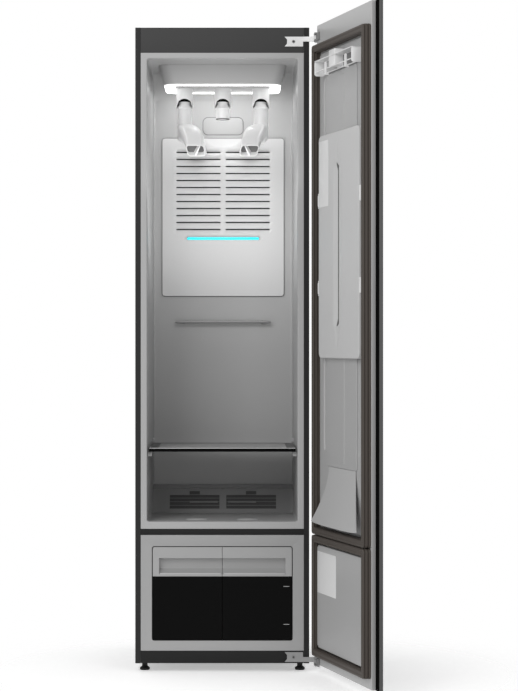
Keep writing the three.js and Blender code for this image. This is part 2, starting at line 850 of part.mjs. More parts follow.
function levellingFoot() {
  const shoulder = cabinet.footClearance - fit.seat;
  return turned([
    [0, 0],
    [foot.radius - foot.soleInset, 0],
    [foot.radius, foot.soleRise],
    [foot.radius, foot.rim],
    [foot.crownRadius, foot.disc],
    [foot.neckRadius, foot.disc + foot.cone],
    [foot.neckRadius, shoulder],
    [foot.stemRadius, shoulder],
    [foot.stemRadius, shoulder + foot.stem],
    [0, shoulder + foot.stem],
  ], 0, 0, fine.small);
}

// Chamber

// The hollow of the chamber, grown outwards by a wall. The ceiling is level, then falls to the back.
function chamberHollow(grow, front, back) {
  const share = (y) => chamber.draft * (y / chamber.depth);
  const flat = chamber.depth - chamber.slopeRun;
  const fall = chamber.slopeShares.map((drop, i) => ({
    y: flat + (back - flat) * (i / (chamber.slopeShares.length - 1)),
    drop: chamber.slopeDrop * drop,
  }));
  const stations = [{ y: front, drop: 0 }, ...fall];
  return loft(stations.map(({ y, drop }) => {
    const half = chamberHalf - share(y) + grow;
    const shape = rounded(-half, half, floorZ - grow, ceilingZ - drop + grow, chamber.cornerRadius + grow);
    return ringAt(shape, (x, z) => new THREE.Vector3(x, y, z));
  }));
}

function pegBody(side, y) {
  const high = shelf.top - shelf.thickness - fit.seat;
  const shape = rounded(y - peg.depth / 2, y + peg.depth / 2, high - peg.height, high, peg.radius);
  return prism("x", shape, ...between(side, backHalf - peg.width, chamberHalf + chamber.wall / 2),
    { curveSegments: fine.blunt });
}

function stopBody(side) {
  const low = shelf.top + pegStop.gap;
  const y = chamber.depth - pegStop.rearGap;
  const shape = rounded(y - pegStop.depth / 2, y + pegStop.depth / 2, low, low + pegStop.height, peg.radius);
  return prism("x", shape, ...between(side, backHalf - pegStop.width, chamberHalf + chamber.wall / 2),
    { curveSegments: fine.blunt });
}

function bumpBody(side) {
  const dome = new THREE.SphereGeometry(1, fine.small, fine.small / 2);
  dome.rotateX(Math.PI / 2);
  dome.scale(floorBump.width / 2, floorBump.depth / 2, floorBump.rise);
  dome.translate(side * floorBump.offset, floorBump.front + floorBump.depth / 2, floorZ);
  const above = block(-chamberHalf, chamberHalf, 0, chamber.depth,
    floorZ - chamber.wall / 2, floorZ + chamber.rimBottom);
  return solid(dome).intersect(above);
}

function chamberLiner() {
  const rim = block(-frontHalf, frontHalf, 0, chamber.rimThickness, rimLow + fit.seat, rimHigh - fit.seat);
  const shell = join(rim, chamberHollow(chamber.wall, 0, chamber.depth + chamber.wall));
  const rearWindow = prism("y", rounded(-airWindow.halfWidth, airWindow.halfWidth, airWindow.low, airWindow.high,
    airWindow.radius), chamber.depth - fit.overrun, chamber.depth + chamber.wall + fit.overrun);
  const ceilingWindow = block(-duct.halfWidth + duct.wall, duct.halfWidth - duct.wall, duct.front + duct.wall,
    duct.windowRear, ceilingZ - fit.overrun, ceilingZ + chamber.wall + fit.overrun);
  const hollow = cut(shell, chamberHollow(0, -fit.overrun, chamber.depth));
  const emboss = prism("y", rounded(-backEmboss.halfWidth, backEmboss.halfWidth, backEmboss.low,
    backEmboss.low + backEmboss.height, backEmboss.radius), chamber.depth - backEmboss.rise,
    chamber.depth + chamber.wall / 2);
  const fittings = [-1, 1].flatMap((side) => [
    pegBody(side, peg.front), pegBody(side, chamber.depth - peg.rearGap), stopBody(side), bumpBody(side),
  ]);
  return cut(join(hollow, emboss, ...fittings), rearWindow, ceilingWindow);
}

function insulation() {
  const outer = innerSkin - fit.seat;
  const inner = chamberHalf + chamber.wall + fit.seat;
  const wall = (side) => block(...between(side, inner, outer), foam.front, foam.rear, foam.low, foam.high);
  return join(wall(-1), wall(1), block(-outer, outer, foam.front, foam.rear, foam.top, foam.high));
}

function ceilingHousing() {
  const top = ceilingZ - fit.seat;
  const ring = (half, front, rear, z) => ringAt(rounded(-half, half, front, rear, housing.cornerRadius),
    (x, y) => new THREE.Vector3(x, y, z));
  const body = loft([
    ring(housing.bottomHalf, housing.bottomFront, housing.bottomRear, housing.bottomZ),
    ring(housing.topHalf, housing.topRear - housing.topDepth, housing.topRear, top),
  ]);
  return body.intersect(chamberHollow(-fit.seat, fit.seat, chamber.depth - fit.seat));
}

function ceilingRing() {
  const [half, front, rear] = [housing.bottomHalf, housing.bottomFront, housing.bottomRear];
  const band = lightRing.band;
  const shape = ringShape(
    rounded(-half, half, front, rear, lightRing.cornerRadius),
    rounded(-half + band, half - band, front + band, rear - band, lightRing.innerRadius),
  );
  const high = housing.bottomZ - fit.seat;
  return prism("z", shape, high - lightRing.height, high);
}

// A socket hangs under the ceiling housing. Its front is cut away in an arch, so the neck's seal shows.
function nozzleSocket() {
  const sleeve = turned([
    [0, socket.top - socket.crown],
    [socket.bore, socket.top - socket.crown],
    [socket.bore, socket.low],
    [socket.radius, socket.low],
    [socket.radius, socket.top - socket.collarHeight],
    [socket.collarRadius - socket.collarHeight / 2, socket.top],
    [0, socket.top],
  ], 0, 0, fine.round);
  const arch = new THREE.Shape();
  const spring = socket.low + socket.archRise;
  arch.moveTo(-socket.archRadius, socket.low - fit.overrun);
  arch.lineTo(socket.archRadius, socket.low - fit.overrun);
  arch.lineTo(socket.archRadius, spring);
  arch.absarc(0, spring, socket.archRadius, 0, Math.PI);
  arch.closePath();
  return cut(sleeve, prism("y", arch, -socket.radius - fit.overrun, 0, { curveSegments: fine.small / 2 }));
}

// The neck that plugs into a socket: a seal ring, a waist below it and a shoulder.
function neckProfile() {
  const ringLow = socket.low + neck.engage - neck.ringHeight - neck.waistHeight;
  return {
    top: ringLow + neck.ringHeight,
    points: [
      [nozzle.radius, ringLow - neck.shoulder],
      [nozzle.radius, ringLow - neck.waistHeight],
      [neck.waist, ringLow - neck.taper],
      [neck.waist, ringLow],
      [neck.radius, ringLow],
      [neck.radius, ringLow + neck.ringHeight],
      [0, ringLow + neck.ringHeight],
    ],
  };
}

function centreNozzle() {
  const { points } = neckProfile();
  const low = socket.low - nozzle.length + neck.waistHeight;
  return turned([
    [0, low + nozzle.boreDepth],
    [nozzle.boreTop, low + nozzle.boreDepth],
    [nozzle.bore, low],
    [nozzle.mouthRadius, low],
    ...points,
  ], 0, 0, fine.middle);
}

// One of two arms that carry a garment's shoulders: tall at the neck and flattened at its open mouth.
// An end of -1 reaches to the front and 1 to the rear, and both bow to the left on the right of the cabinet.
function armRing(side, end, section) {
  const share = hanger.ringShares[section];
  const shift = -side * hanger.bow * hanger.bowShares[section];
  const drop = end < 0 ? hanger.frontDrop : hanger.rearDrop;
  const top = hanger.topZ - drop * share ** hanger.fallPower;
  const height = THREE.MathUtils.lerp(hanger.rootHeight, hanger.mouthHeight, Math.sqrt(share));
  const half = hanger.mouthWidth * hanger.widthShares[section] / 2;
  const corner = THREE.MathUtils.lerp(hanger.tubeRadius, hanger.mouthCorner, share);
  const shape = rounded(-half, half, top - height, top, corner);
  return ringAt(shape, (x, z) => new THREE.Vector3(x + shift, end * share * hanger.arm, z));
}

function airHanger(side) {
  const sections = hanger.ringShares.map((_, section) => section);
  const arms = loft([
    ...sections.toReversed().map((section) => armRing(side, -1, section)),
    ...sections.map((section) => armRing(side, 1, section)),
  ]);
  const { points } = neckProfile();
  const heart = hanger.topZ - hanger.rootHeight / 2;
  const tube = turned([[0, heart], [hanger.tubeRadius, heart], ...points], 0, 0, fine.middle);
  const w = hanger.mouthWall;
  const half = hanger.mouthWidth / 2 - w;
  // Each mouth is two pockets that leave a leaning divider between them and lean in with the arm's bow.
  const [nearBow, farBow] = hanger.bowShares.slice(-2);
  const [nearShare, farShare] = hanger.ringShares.slice(-2);
  const lean = hanger.bow * (farBow - nearBow) / (hanger.arm * (farShare - nearShare));
  const pockets = [[-1, hanger.frontDrop], [1, hanger.rearDrop]].flatMap(([end, drop]) => [-1, 1].map((flank) => {
    const high = hanger.topZ - drop - w;
    const low = high - hanger.mouthHeight + 2 * w;
    const root = flank * hanger.dividerWidth * hanger.dividerTopShare;
    const heel = flank * hanger.dividerWidth;
    const wall = flank * half;
    const shape = outline([[root, high], [heel, low], [wall * hanger.mouthTaperShare, low], [wall, high]]);
    return loft(between(end, hanger.arm - hanger.mouthDepth, hanger.arm + fit.overrun).map((y) =>
      ringAt(shape, (x, z) => new THREE.Vector3(
        x - side * (hanger.bow + lean * (Math.abs(y) - hanger.arm)), y, z))));
  }));
  return cut(join(arms, tube), ...pockets);
}

// Back wall of the chamber

function rearAirPanel() {
  const p = airPanel;
  const shape = rounded(-p.halfWidth, p.halfWidth, p.low, p.high, p.radius);
  for (let row = 0; row < p.slotRows; row += 1) {
    const z = p.high - p.slotDrop - row * p.slotPitch;
    for (const side of [-1, 1]) {
      const [a, b] = between(side, p.slotInner, p.halfWidth - p.slotSideGap);
      shape.holes.push(slotShape(a, b, z, p.slotHeight / 2));
    }
  }
  const bar = lightBar.halfWidth + fit.seat;
  const barHalf = lightBar.height / 2 + fit.seat;
  shape.holes.push(rounded(-bar, bar, lightBar.z - barHalf, lightBar.z + barHalf, barHalf));
  const plate = prism("y", shape, airPanel.face, airPanel.face + p.thickness, { curveSegments: fine.blunt });
  const scoop = new THREE.SphereGeometry(1, fine.middle, fine.small);
  scoop.scale(p.dishHalfWidth, p.dishDepth, p.dishHeight);
  scoop.translate(0, airPanel.face, p.high);
  return cut(plate, solid(scoop));
}

function cyanBar() {
  const half = lightBar.height / 2;
  const shape = rounded(-lightBar.halfWidth, lightBar.halfWidth, lightBar.z - half, lightBar.z + half, half);
  return prism("y", shape, airPanel.face - lightBar.proud, airPanel.face + airPanel.thickness - lightBar.back);
}

function hangRail() {
  const r = rearRail;
  const y = chamber.depth - r.standoff;
  const bar = round("x", y, r.z, r.radius, -r.halfWidth, r.halfWidth);
  const posts = [-1, 1].map((side) => round("y", side * (r.halfWidth - r.postInset), r.z, r.postRadius, y,
    chamber.depth - fit.seat));
  return join(bar, ...posts);
}

// Shelf

function shelfFrame() {
  const low = shelf.top - shelf.thickness;
  const outer = rounded(-shelf.halfWidth, shelf.halfWidth, shelf.front, shelf.rear, shelf.cornerRadius);
  const opening = (grow, z0, z1) => prism("z", rounded(
    -shelf.halfWidth + shelf.sideBand - grow, shelf.halfWidth - shelf.sideBand + grow,
    shelf.front + shelf.endBand - grow, shelf.rear - shelf.endBand + grow, shelf.cornerRadius), z0, z1);
  const seatZ = shelf.top - shelf.rimRise - shelf.panelThickness;
  return cut(
    prism("z", outer, low, shelf.top),
    opening(0, seatZ, shelf.top + fit.overrun),
    opening(-shelf.ledge, low - fit.overrun, seatZ + fit.seat),
  );
}

function shelfPanel() {
  const g = fit.seat;
  const high = shelf.top - shelf.rimRise + g;
  const shape = rounded(-shelf.halfWidth + shelf.sideBand + g, shelf.halfWidth - shelf.sideBand - g,
    shelf.front + shelf.endBand + g, shelf.rear - shelf.endBand - g, shelf.cornerRadius - g);
  return prism("z", shape, high - shelf.panelThickness, high);
}

// Floor unit: a wedge with a sloping front, and two lint filters that lift out along the slope

const slope = new THREE.Matrix4()
  .makeRotationX(-slopeAngle)
  .setPosition(0, floorUnit.toeY, floorZ + fit.seat);

function onSlope(x0, x1, y0, y1, z0, z1) {
  const geometry = new THREE.BoxGeometry(x1 - x0, y1 - y0, z1 - z0);
  geometry.translate((x0 + x1) / 2, (y0 + y1) / 2, (z0 + z1) / 2);
  return solid(geometry.applyMatrix4(slope));
}

const filterSpan = {
  inner: floorUnit.postWidth / 2 + fit.running,
  outer: floorUnit.windowHalfWidth - fit.running,
  low: floorUnit.windowLow - filter.frame,
  high: slopeLength,
};
const filterFront = floorUnit.wall + fit.running;

function floorCover() {
  const u = floorUnit;
  const base = floorZ + fit.seat;
  const back = chamber.depth - fit.seat;
  const wedge = prism("x", outline([[u.toeY, base], [back, base], [back, u.rearZ], [u.crestY, u.crestZ]]),
    -chamberHalf, chamberHalf).intersect(chamberHollow(-fit.seat, 0, back));
  const side = backHalf - chamber.cornerRadius;
  const sink = u.slotDepth + 2 * u.wall;
  const inner = prism("x", outline([
    [u.toeY + sink, base - fit.overrun],
    [back - u.wall, base - fit.overrun],
    [back - u.wall, u.rearZ - u.wall - u.wall],
    [u.crestY + sink, u.crestZ - u.wall],
  ]), -side, side);
  const slots = [-1, 1].map((sideways) => {
    const [a, b] = between(sideways, filterSpan.inner - fit.running, filterSpan.outer + fit.running);
    return onSlope(a, b, u.wall, u.wall + u.slotDepth, filterSpan.low - fit.running, slopeLength + u.windowHigh);
  });
  const windows = [-1, 1].map((sideways) => {
    const [a, b] = between(sideways, u.postWidth / 2 + filter.frame, u.windowHalfWidth - filter.frame);
    return onSlope(a, b, -fit.overrun, sink + u.wall + fit.overrun, u.windowLow, u.windowHigh);
  });
  // A notch above each window lets the filter's grip pass.
  const notches = [-1, 1].map((sideways) => {
    const middle = sideways * (filterSpan.inner + filterSpan.outer) / 2;
    const half = filter.gripWidth / 2 + fit.running;
    return onSlope(middle - half, middle + half, -fit.overrun, u.wall + fit.overrun, u.windowHigh - fit.overrun,
      slopeLength + u.windowHigh);
  });
  return cut(wedge, inner, ...slots, ...windows, ...notches);
}

function lintFilter(side) {
  const f = filter;
  const [x0, x1] = between(side, filterSpan.inner, filterSpan.outer);
  const middle = (x0 + x1) / 2;
  const [z0, z1] = [filterSpan.low, filterSpan.high];
  const [y0, y1] = [filterFront, filterFront + f.thickness];
  const plate = onSlope(x0, x1, y0, y1, z0, z1);
  const pitch = (z1 - z0 - 2 * f.frame) / f.bars;
  const gaps = Array.from({ length: f.bars }, (_, i) => onSlope(
    x0 + f.frame, x1 - f.frame, y0 - fit.overrun, y1 + fit.overrun,
    z0 + f.frame + i * pitch + f.bar / 2, z0 + f.frame + (i + 1) * pitch - f.bar / 2));
  const tab = onSlope(middle - f.tabWidth / 2, middle + f.tabWidth / 2, y0, y1, z1 - f.frame / 2, z1 + f.tabRise);
  const gripZ = (floorUnit.windowLow + floorUnit.windowHigh) / 2;
  const grip = onSlope(middle - f.gripWidth / 2, middle + f.gripWidth / 2, y0 - f.gripProud, y1,
    gripZ - f.gripHeight / 2, gripZ + f.gripHeight / 2);
  return join(cut(plate, ...gaps), tab, grip);
}

// Lower panel and tanks

function lowerPanel() {
  const b = bay;
  const plate = block(-frontHalf, frontHalf, 0, b.plate, plinthTop + fit.seat, dividerLow - fit.seat);
  const box = prism("y", roundTopped(-b.halfWidth - b.wall, b.halfWidth + b.wall, b.low - b.wall, b.high + b.wall,
    b.radius + b.wall), 0, b.depth + b.wall);
  const inside = prism("y", roundTopped(-b.halfWidth, b.halfWidth, b.low, b.high, b.radius), -fit.overrun, b.depth);
  const valves = [-1, 1].map((side) => round("y", side * b.halfWidth / 2, b.low + 3 * b.valve, b.valve,
    b.depth - fit.overrun, b.depth + b.wall + fit.overrun));
  return cut(join(plate, box), inside, ...valves);
}

const tankSize = {
  near: fit.running,
  far: bay.halfWidth - fit.running,
  low: bay.low + fit.seat,
  high: bay.high - fit.seat,
};
tankSize.gripLow = tankSize.high - tank.gripHeight;
tankSize.lidLow = tankSize.high - tank.lidDrop;

function tankBody(side) {
  const s = tankSize;
  const top = s.lidLow - fit.seat;
  const step = tank.gripDepth + fit.seat;
  const shelfZ = s.gripLow - fit.seat;
  const w = tank.wall;
  const [x0, x1] = between(side, s.near, s.far);
  const outer = outline([[0, s.low], [tank.depth, s.low], [tank.depth, top], [step, top], [step, shelfZ], [0, shelfZ]]);
  const inner = outline([
    [w, s.low + w],
    [tank.depth - w, s.low + w],
    [tank.depth - w, top + fit.overrun],
    [step + w, top + fit.overrun],
    [step + w, shelfZ - w],
    [w, shelfZ - w],
  ]);
  return cut(prism("x", outer, x0, x1), prism("x", inner, x0 + w, x1 - w));
}

function tankLid(side) {
  const s = tankSize;
  const g = tank;
  const [x0, x1] = between(side, s.near, s.far);
  const outerX = side * s.far;
  const corner = prism("y", rounded(...between(side, s.near - bay.radius, s.far), s.gripLow - bay.radius, s.high,
    bay.radius), -fit.overrun, g.depth + fit.overrun);
  const grip = block(x0, x1, 0, g.gripDepth, s.gripLow, s.high).intersect(corner);
  const lid = block(x0, x1, g.gripDepth - g.lidThickness, g.depth, s.lidLow, s.lidLow + g.lidThickness);
  const inset = g.wall + fit.running;
  const plug = block(x0 + inset, x1 - inset, g.gripDepth + inset, g.depth - inset, s.lidLow - g.plug,
    s.lidLow + g.lidThickness / 2);
  const cap = round("z", (x0 + x1) / 2, g.capY, g.capRadius, s.lidLow, s.lidLow + g.lidThickness + g.capHeight);
  // The finger pull is a scoop with a hooked top edge. It runs on across both tanks.
  const low = s.gripLow + g.pullLow;
  const high = s.gripLow + g.pullHigh;
  const scoop = outline([
    [-fit.overrun, low],
    [0, low],
    [g.pullBend, low + g.pullBendRise],
    [g.pullDepth, low + g.pullRise],
    [g.pullDepth, high],
    [-fit.overrun, high],
  ]);
  const [p0, p1] = between(side, -fit.overrun, Math.abs(outerX) - g.pullEnd);
  const pull = prism("x", scoop, p0, p1);
  return cut(join(grip, lid, plug, cap), pull);
}

// Hinges

function armShape() {
  const h = hinge;
  const face = -fit.seat;
  const back = face - h.plateThickness;
  const t = h.armThickness;
  const shape = new THREE.Shape();
  shape.moveTo(h.plateRight - t, face);
  shape.lineTo(h.x - h.knuckleRadius, face - h.armLead);
  shape.quadraticCurveTo(h.x + h.bendOut, face - t, h.x + h.bendOut, h.y + h.knuckleRadius);
  shape.lineTo(h.x - h.bendIn, h.y + h.bendIn);
  shape.quadraticCurveTo(h.x - h.bendThroat, back - t, h.x - h.bendRoot, back - h.armBack);
  shape.lineTo(h.plateRight - t, back);
  shape.closePath();
  return shape;
}

// The plate with its arm, knuckle and pin; up is 1 at the top of the door and -1 at its foot.
function cabinetHinge(up, plateZ) {
  const h = hinge;
  const half = h.plateHeight / 2;
  const face = -fit.seat;
  const back = face - h.plateThickness;
  const shape = new THREE.Shape();
  shape.moveTo(h.plateRight, plateZ - half);
  shape.lineTo(h.plateRight, plateZ + half);
  shape.lineTo(h.plateLeft, plateZ + half);
  shape.lineTo(h.plateLeft + h.earDepth, plateZ + h.earNotch / 2);
  shape.lineTo(h.plateLeft + h.earDepth, plateZ - h.earNotch / 2);
  shape.lineTo(h.plateLeft, plateZ - half);
  shape.closePath();
  shape.holes.push(disc(h.screwX, plateZ, h.screwRadius));
  const plate = prism("y", shape, back, face, { curveSegments: fine.small / 2 });
  const armZ = plateZ + up * h.armLift;
  const [low, high] = [armZ - h.armHeight / 2, armZ + h.armHeight / 2];
  const arm = prism("z", armShape(), low, high);
  const knuckle = round("z", h.x, h.y, h.knuckleRadius, low, high, fine.middle);
  const reach = h.armHeight / 2 + fit.running + h.earThickness + fit.seat;
  const pin = round("z", h.x, h.y, h.pinRadius, armZ - reach, armZ + reach);
  const heads = [-1, 1].map((end) => {
    const [a, b] = between(end, reach, reach + h.pinHeadHeight);
    return round("z", h.x, h.y, h.pinHead, armZ + a, armZ + b);
  });
  return join(plate, arm, knuckle, pin, ...heads);
}

// The door's half of a hinge: a flange on the inner plate and two ears round the pin.
function doorBracket(up, plateZ) {
  const h = hinge;
  const armZ = plateZ + up * h.armLift;
  const inner = h.armHeight / 2 + fit.running;
  const outer = inner + h.earThickness;
  const face = doorFace + fit.seat;
  const flange = block(door.hingeEdge - h.flangeWidth, door.hingeEdge, face, face + h.flangeThickness,
    armZ - outer, armZ + outer);
  const shape = new THREE.Shape();
  const start = door.hingeEdge - h.earRoot;
  shape.moveTo(start, face);
  shape.lineTo(door.hingeEdge, face);
  shape.lineTo(h.x, h.y - h.knuckleRadius);
  shape.absarc(h.x, h.y, h.knuckleRadius, -Math.PI / 2, Math.PI / 2);
  shape.lineTo(start, face + h.reach);
  shape.closePath();
  const bore = round("z", h.x, h.y, h.bore, armZ - outer - fit.overrun, armZ + outer + fit.overrun, fine.middle);
  const ears = [-1, 1].map((end) => {
    const [a, b] = between(end, inner, outer);
    return prism("z", shape, armZ + a, armZ + b, { curveSegments: fine.small / 2 });
  });
  return cut(join(flange, ...ears), bore);
}

// Door. s is measured along the door from its hinge edge, n upwards from its inner face.

const sx = (s) => door.hingeEdge - s;
const ny = (n) => doorFace + n;

function onDoor(s0, s1, n0, n1, z0, z1) {
  return block(sx(s1), sx(s0), ny(n0), ny(n1), z0, z1);
}

const onDoorShape = (s0, s1, z0, z1, radius) => rounded(sx(s1), sx(s0), z0, z1, radius);

// The slab's section, drawn inwards by an inset: rounded at the front and at the grip edge.
function slabShape(inset) {
  const r = door.slabRadius;
  const rear = slabRear - inset;
  const front = slabRear - door.slab;
  const hingeSide = door.hingeEdge + fit.running;
  const right = Math.PI / 2;
  const shape = new THREE.Shape();
  shape.moveTo(hingeSide - inset, rear);
  shape.lineTo(door.gripEdge + r / 2, rear);
  shape.absarc(door.gripEdge + r / 2, slabRear - r / 2, r / 2 - inset, right, 2 * right);
  shape.absarc(door.gripEdge + r, front + r, r - inset, 2 * right, 3 * right);
  shape.absarc(hingeSide - r, front + r, r - inset, 3 * right, 4 * right);
  shape.closePath();
  return shape;
}

function frontSlab() {
  const w = door.slabWall;
  const opening = block(door.freeEdge + w, door.hingeEdge - w, slabRear - w - fit.seat, slabRear + fit.overrun,
    door.low + w, door.high - w);
  return cut(prism("z", slabShape(0), door.low, door.high),
    prism("z", slabShape(w), door.low + w, door.high - w), opening);
}

function doorFoam() {
  const inset = door.slabWall + fit.seat;
  return block(door.freeEdge + inset, door.hingeEdge - door.slabRadius, slabRear - door.slab + inset, slabRear,
    door.low + inset, door.high - inset);
}

function raisedPanel([low, high]) {
  const margin = door.padMargin;
  const shape = onDoorShape(gasket.near + margin, gasket.far - margin, low + margin, high - margin, door.padRadius);
  const geometry = new THREE.ExtrudeGeometry(shape, {
    depth: door.plate / 2,
    bevelEnabled: true,
    bevelThickness: door.padBevel,
    bevelSize: door.padBevel,
    bevelOffset: -door.padBevel,
    bevelSegments: 1,
    curveSegments: fine.corner,
  });
  geometry.translate(0, 0, -ny(door.pad) + door.padBevel);
  return solid(geometry.applyMatrix4(axes.y));
}

function innerPlate() {
  const plate = block(door.freeEdge, door.hingeEdge, ny(-door.plate), ny(0), door.low + door.inset,
    door.high - door.inset);
  const pads = Object.values(gasketFrames).map(raisedPanel);
  const [grooveLow, grooveHigh] = [pressBoard.low + door.grooveLowGap, pressBoard.high - door.grooveTopGap];
  const grooves = [pressBoard.near - door.groove, pressBoard.far].map((s) => prism("y",
    onDoorShape(s, s + door.groove, grooveLow, grooveHigh, door.padRadius),
    ny(door.pad - door.grooveDepth), ny(door.pad + fit.overrun)));
  return cut(join(plate, ...pads), ...grooves);
}

// A hollow-section seal: a base strip, a narrow neck and a soft tip, run round a rounded frame.
function gasketFrame([low, high]) {
  const g = gasket;
  const strip = (inset, n0, n1, radius) => {
    const outer = onDoorShape(gasket.near + inset, gasket.far - inset, low + inset, high - inset, radius);
    const w = g.width;
    const inner = onDoorShape(gasket.near + w - inset, gasket.far - w + inset, low + w - inset, high - w + inset,
      radius / 2);
    return prism("y", ringShape(outer, inner), ny(n0), ny(n1), { curveSegments: fine.blunt });
  };
  const step = g.base + g.neckHeight;
  return join(
    strip(0, fit.seat, g.base, g.radius),
    strip(g.neckInset, g.base / 2, step + g.neckHeight / 2, g.radius),
    strip(g.tipInset, step, g.height - g.tipChamfer, g.radius),
    strip(g.tipInset + g.tipChamfer, g.height - 2 * g.tipChamfer, g.height, g.radius),
  );
}

function pressBacking() {
  const b = pressBoard;
  const face = b.rear + b.thickness;
  const board = prism("y", onDoorShape(b.near, b.far, b.low, b.high, door.padRadius), ny(b.rear), ny(face));
  const bandNear = b.near + b.bandInset;
  const band = onDoor(bandNear, bandNear + b.bandWidth, b.rear + b.thickness / 2, face + b.band,
    b.low + door.padRadius, b.high - door.padRadius);
  return join(board, band);
}

const pressAxis = { x: sx(pressHinge.axisNear), y: ny(pressHinge.axisHeight) };

function pressPlateBody() {
  const p = pressPlate;
  const h = pressHinge;
  const geometry = new THREE.ExtrudeGeometry(onDoorShape(p.near, p.far, p.low, p.high, p.radius), {
    depth: p.thickness - 2 * p.bevel,
    bevelEnabled: true,
    bevelThickness: p.bevel,
    bevelSize: p.bevel,
    bevelOffset: -p.bevel,
    bevelSegments: fine.bevel,
    curveSegments: fine.corner,
  });
  geometry.translate(0, 0, -ny(p.rear + p.thickness - p.bevel));
  const plate = solid(geometry.applyMatrix4(axes.y));
  const face = p.rear + p.thickness;
  const channelRing = (inset, end, n) => ringAt(
    onDoorShape(p.near + p.channelNearGap + inset, p.far - p.channelFarGap - inset,
      p.low + p.channelLowGap + end, p.high - p.channelTopGap - end, p.radius),
    (x, z) => new THREE.Vector3(x, ny(n), z));
  const channel = loft([
    channelRing(p.channelSlope, p.channelEnd, face - p.channelDepth),
    channelRing(0, 0, face),
    channelRing(0, 0, face + fit.overrun),
  ]);
  const barrelHalf = h.length / 2 - h.ear - fit.running;
  const knuckles = h.middles.map((z) => join(
    round("z", pressAxis.x, pressAxis.y, h.barrel, z - barrelHalf, z + barrelHalf),
    onDoor(h.axisNear, p.near + p.bevel, h.axisHeight - h.web, h.axisHeight + h.web, z - barrelHalf, z + barrelHalf),
  ));
  const bores = h.middles.map((z) => round("z", pressAxis.x, pressAxis.y, h.bore, z - h.length, z + h.length));
  const catches = h.middles.map((z) => onDoor(p.far - pressCatch.overlap, p.far + pressCatch.width,
    face - pressCatch.thickness, face - p.bevel / 2, z - h.length / 2, z + h.length / 2));
  return cut(join(plate, ...knuckles, ...catches), channel, ...bores);
}

// A fixed press hinge: a base on the door's raised panel, two ears and the pin between them.
function pressHingeBody(z) {
  const h = pressHinge;
  const half = h.length / 2;
  const rear = pressBoard.rear;
  const base = onDoor(h.axisNear - h.baseWidth / 2, h.axisNear + h.backReach, rear, rear + h.base, z - half, z + half);
  const ears = [-1, 1].map((end) => {
    const [a, b] = between(end, half - h.ear, half).map((rise) => z + rise);
    return join(
      onDoor(h.axisNear - h.barrel, h.axisNear + h.backReach, rear, h.axisHeight, a, b),
      round("z", pressAxis.x, pressAxis.y, h.barrel, a, b),
    );
  });
  const pin = round("z", pressAxis.x, pressAxis.y, h.pin, z - half + h.ear / 2, z + half - h.ear / 2);
  return join(base, ...ears, pin);
}

function trouserGuide() {
  const g = guide;
  const rings = Array.from({ length: fine.rows + 1 }, (_, r) => {
    const t = r / fine.rows;
    const spread = t ** g.flarePower;
    const z = THREE.MathUtils.lerp(pressBoard.low - fit.seat, rimLow + g.lowRise, t);
    const near = THREE.MathUtils.lerp(g.topNear, g.lowNear, spread);
    const far = door.width - THREE.MathUtils.lerp(g.topFarGap, g.lowFarGap, spread);
    const rise = THREE.MathUtils.lerp(pressBoard.rear + g.rootRise, g.lowHeight, t ** g.liftPower);
    const row = Array.from({ length: fine.columns + 1 }, (__, c) => {
      const u = c / fine.columns;
      return [THREE.MathUtils.lerp(near, far, u), rise + g.crown * t * Math.sin(Math.PI * u)];
    });
    const over = row.map(([s, n]) => new THREE.Vector3(sx(s), ny(n + g.sheet), z));
    const under = row.map(([s, n]) => new THREE.Vector3(sx(s), ny(n), z)).reverse();
    return [...over, ...under];
  });
  return loft(rings);
}

function clipBarBody() {
  const c = clipBar;
  const outer = onDoor(c.near, c.far, c.rear, c.front, c.low, c.high);
  const inner = onDoor(c.near + c.wall, c.far - c.wall, c.rear + c.wall, c.front + fit.overrun,
    c.low - fit.overrun, c.high - c.wall);
  const ends = [[c.near, c.near + c.wall], [c.far - c.wall, c.far]].map(([a, b]) =>
    onDoor(a, b, c.rear, c.front, c.low - c.endDrop, c.low + c.wall));
  const centre = onDoor(c.blockNear, c.blockNear + c.blockWidth, pressBoard.rear, c.blockFront, c.blockLow,
    c.blockLow + c.blockHeight);
  const rod = round("x", ny(c.rodHeight), c.rodZ, c.rod, sx(c.far - c.wall / 2), sx(c.near + c.wall / 2));
  return join(cut(outer, inner), ...ends, centre, rod);
}

function clipLeverBody(s) {
  const l = clipLever;
  const c = clipBar;
  const half = l.thickness / 2;
  const blade = onDoor(s - l.width / 2, s + l.width / 2, c.rodHeight - half, c.rodHeight + half, l.low,
    l.low + l.height);
  const jaw = onDoor(s - l.width / 2, s + l.width / 2, c.rodHeight - half - l.foot, c.rodHeight + half, l.low,
    l.low + l.foot / 2);
  const bore = round("x", ny(c.rodHeight), c.rodZ, l.bore, sx(s + l.width), sx(s - l.width));
  return cut(join(blade, jaw), bore);
}

// Machine room

function airDuct() {
  const d = duct;
  const w = d.wall;
  const front = chamber.depth + chamber.wall + fit.seat;
  const outer = outline([[front, d.low], [d.rear, d.low], [d.rear, d.high], [d.front, d.high], [d.front, d.shoulder],
    [front, d.shoulder]]);
  const inner = outline([
    [front + w, d.low - fit.overrun],
    [d.rear - w, d.low - fit.overrun],
    [d.rear - w, d.high - w],
    [d.front + w, d.high - w],
    [d.front + w, d.shoulder + w],
    [front + w, d.shoulder + w],
  ]);
  const inside = d.halfWidth - w;
  const rearWindow = prism("y", rounded(-inside, inside, airWindow.low, airWindow.high, airWindow.radius),
    front - fit.overrun, front + 2 * w);
  const ceilingWindow = block(-inside, inside, d.front + w, d.windowRear, d.shoulder - fit.overrun,
    d.shoulder + 2 * w);
  return cut(prism("x", outer, -d.halfWidth, d.halfWidth), prism("x", inner, -inside, inside), rearWindow,
    ceilingWindow);
}

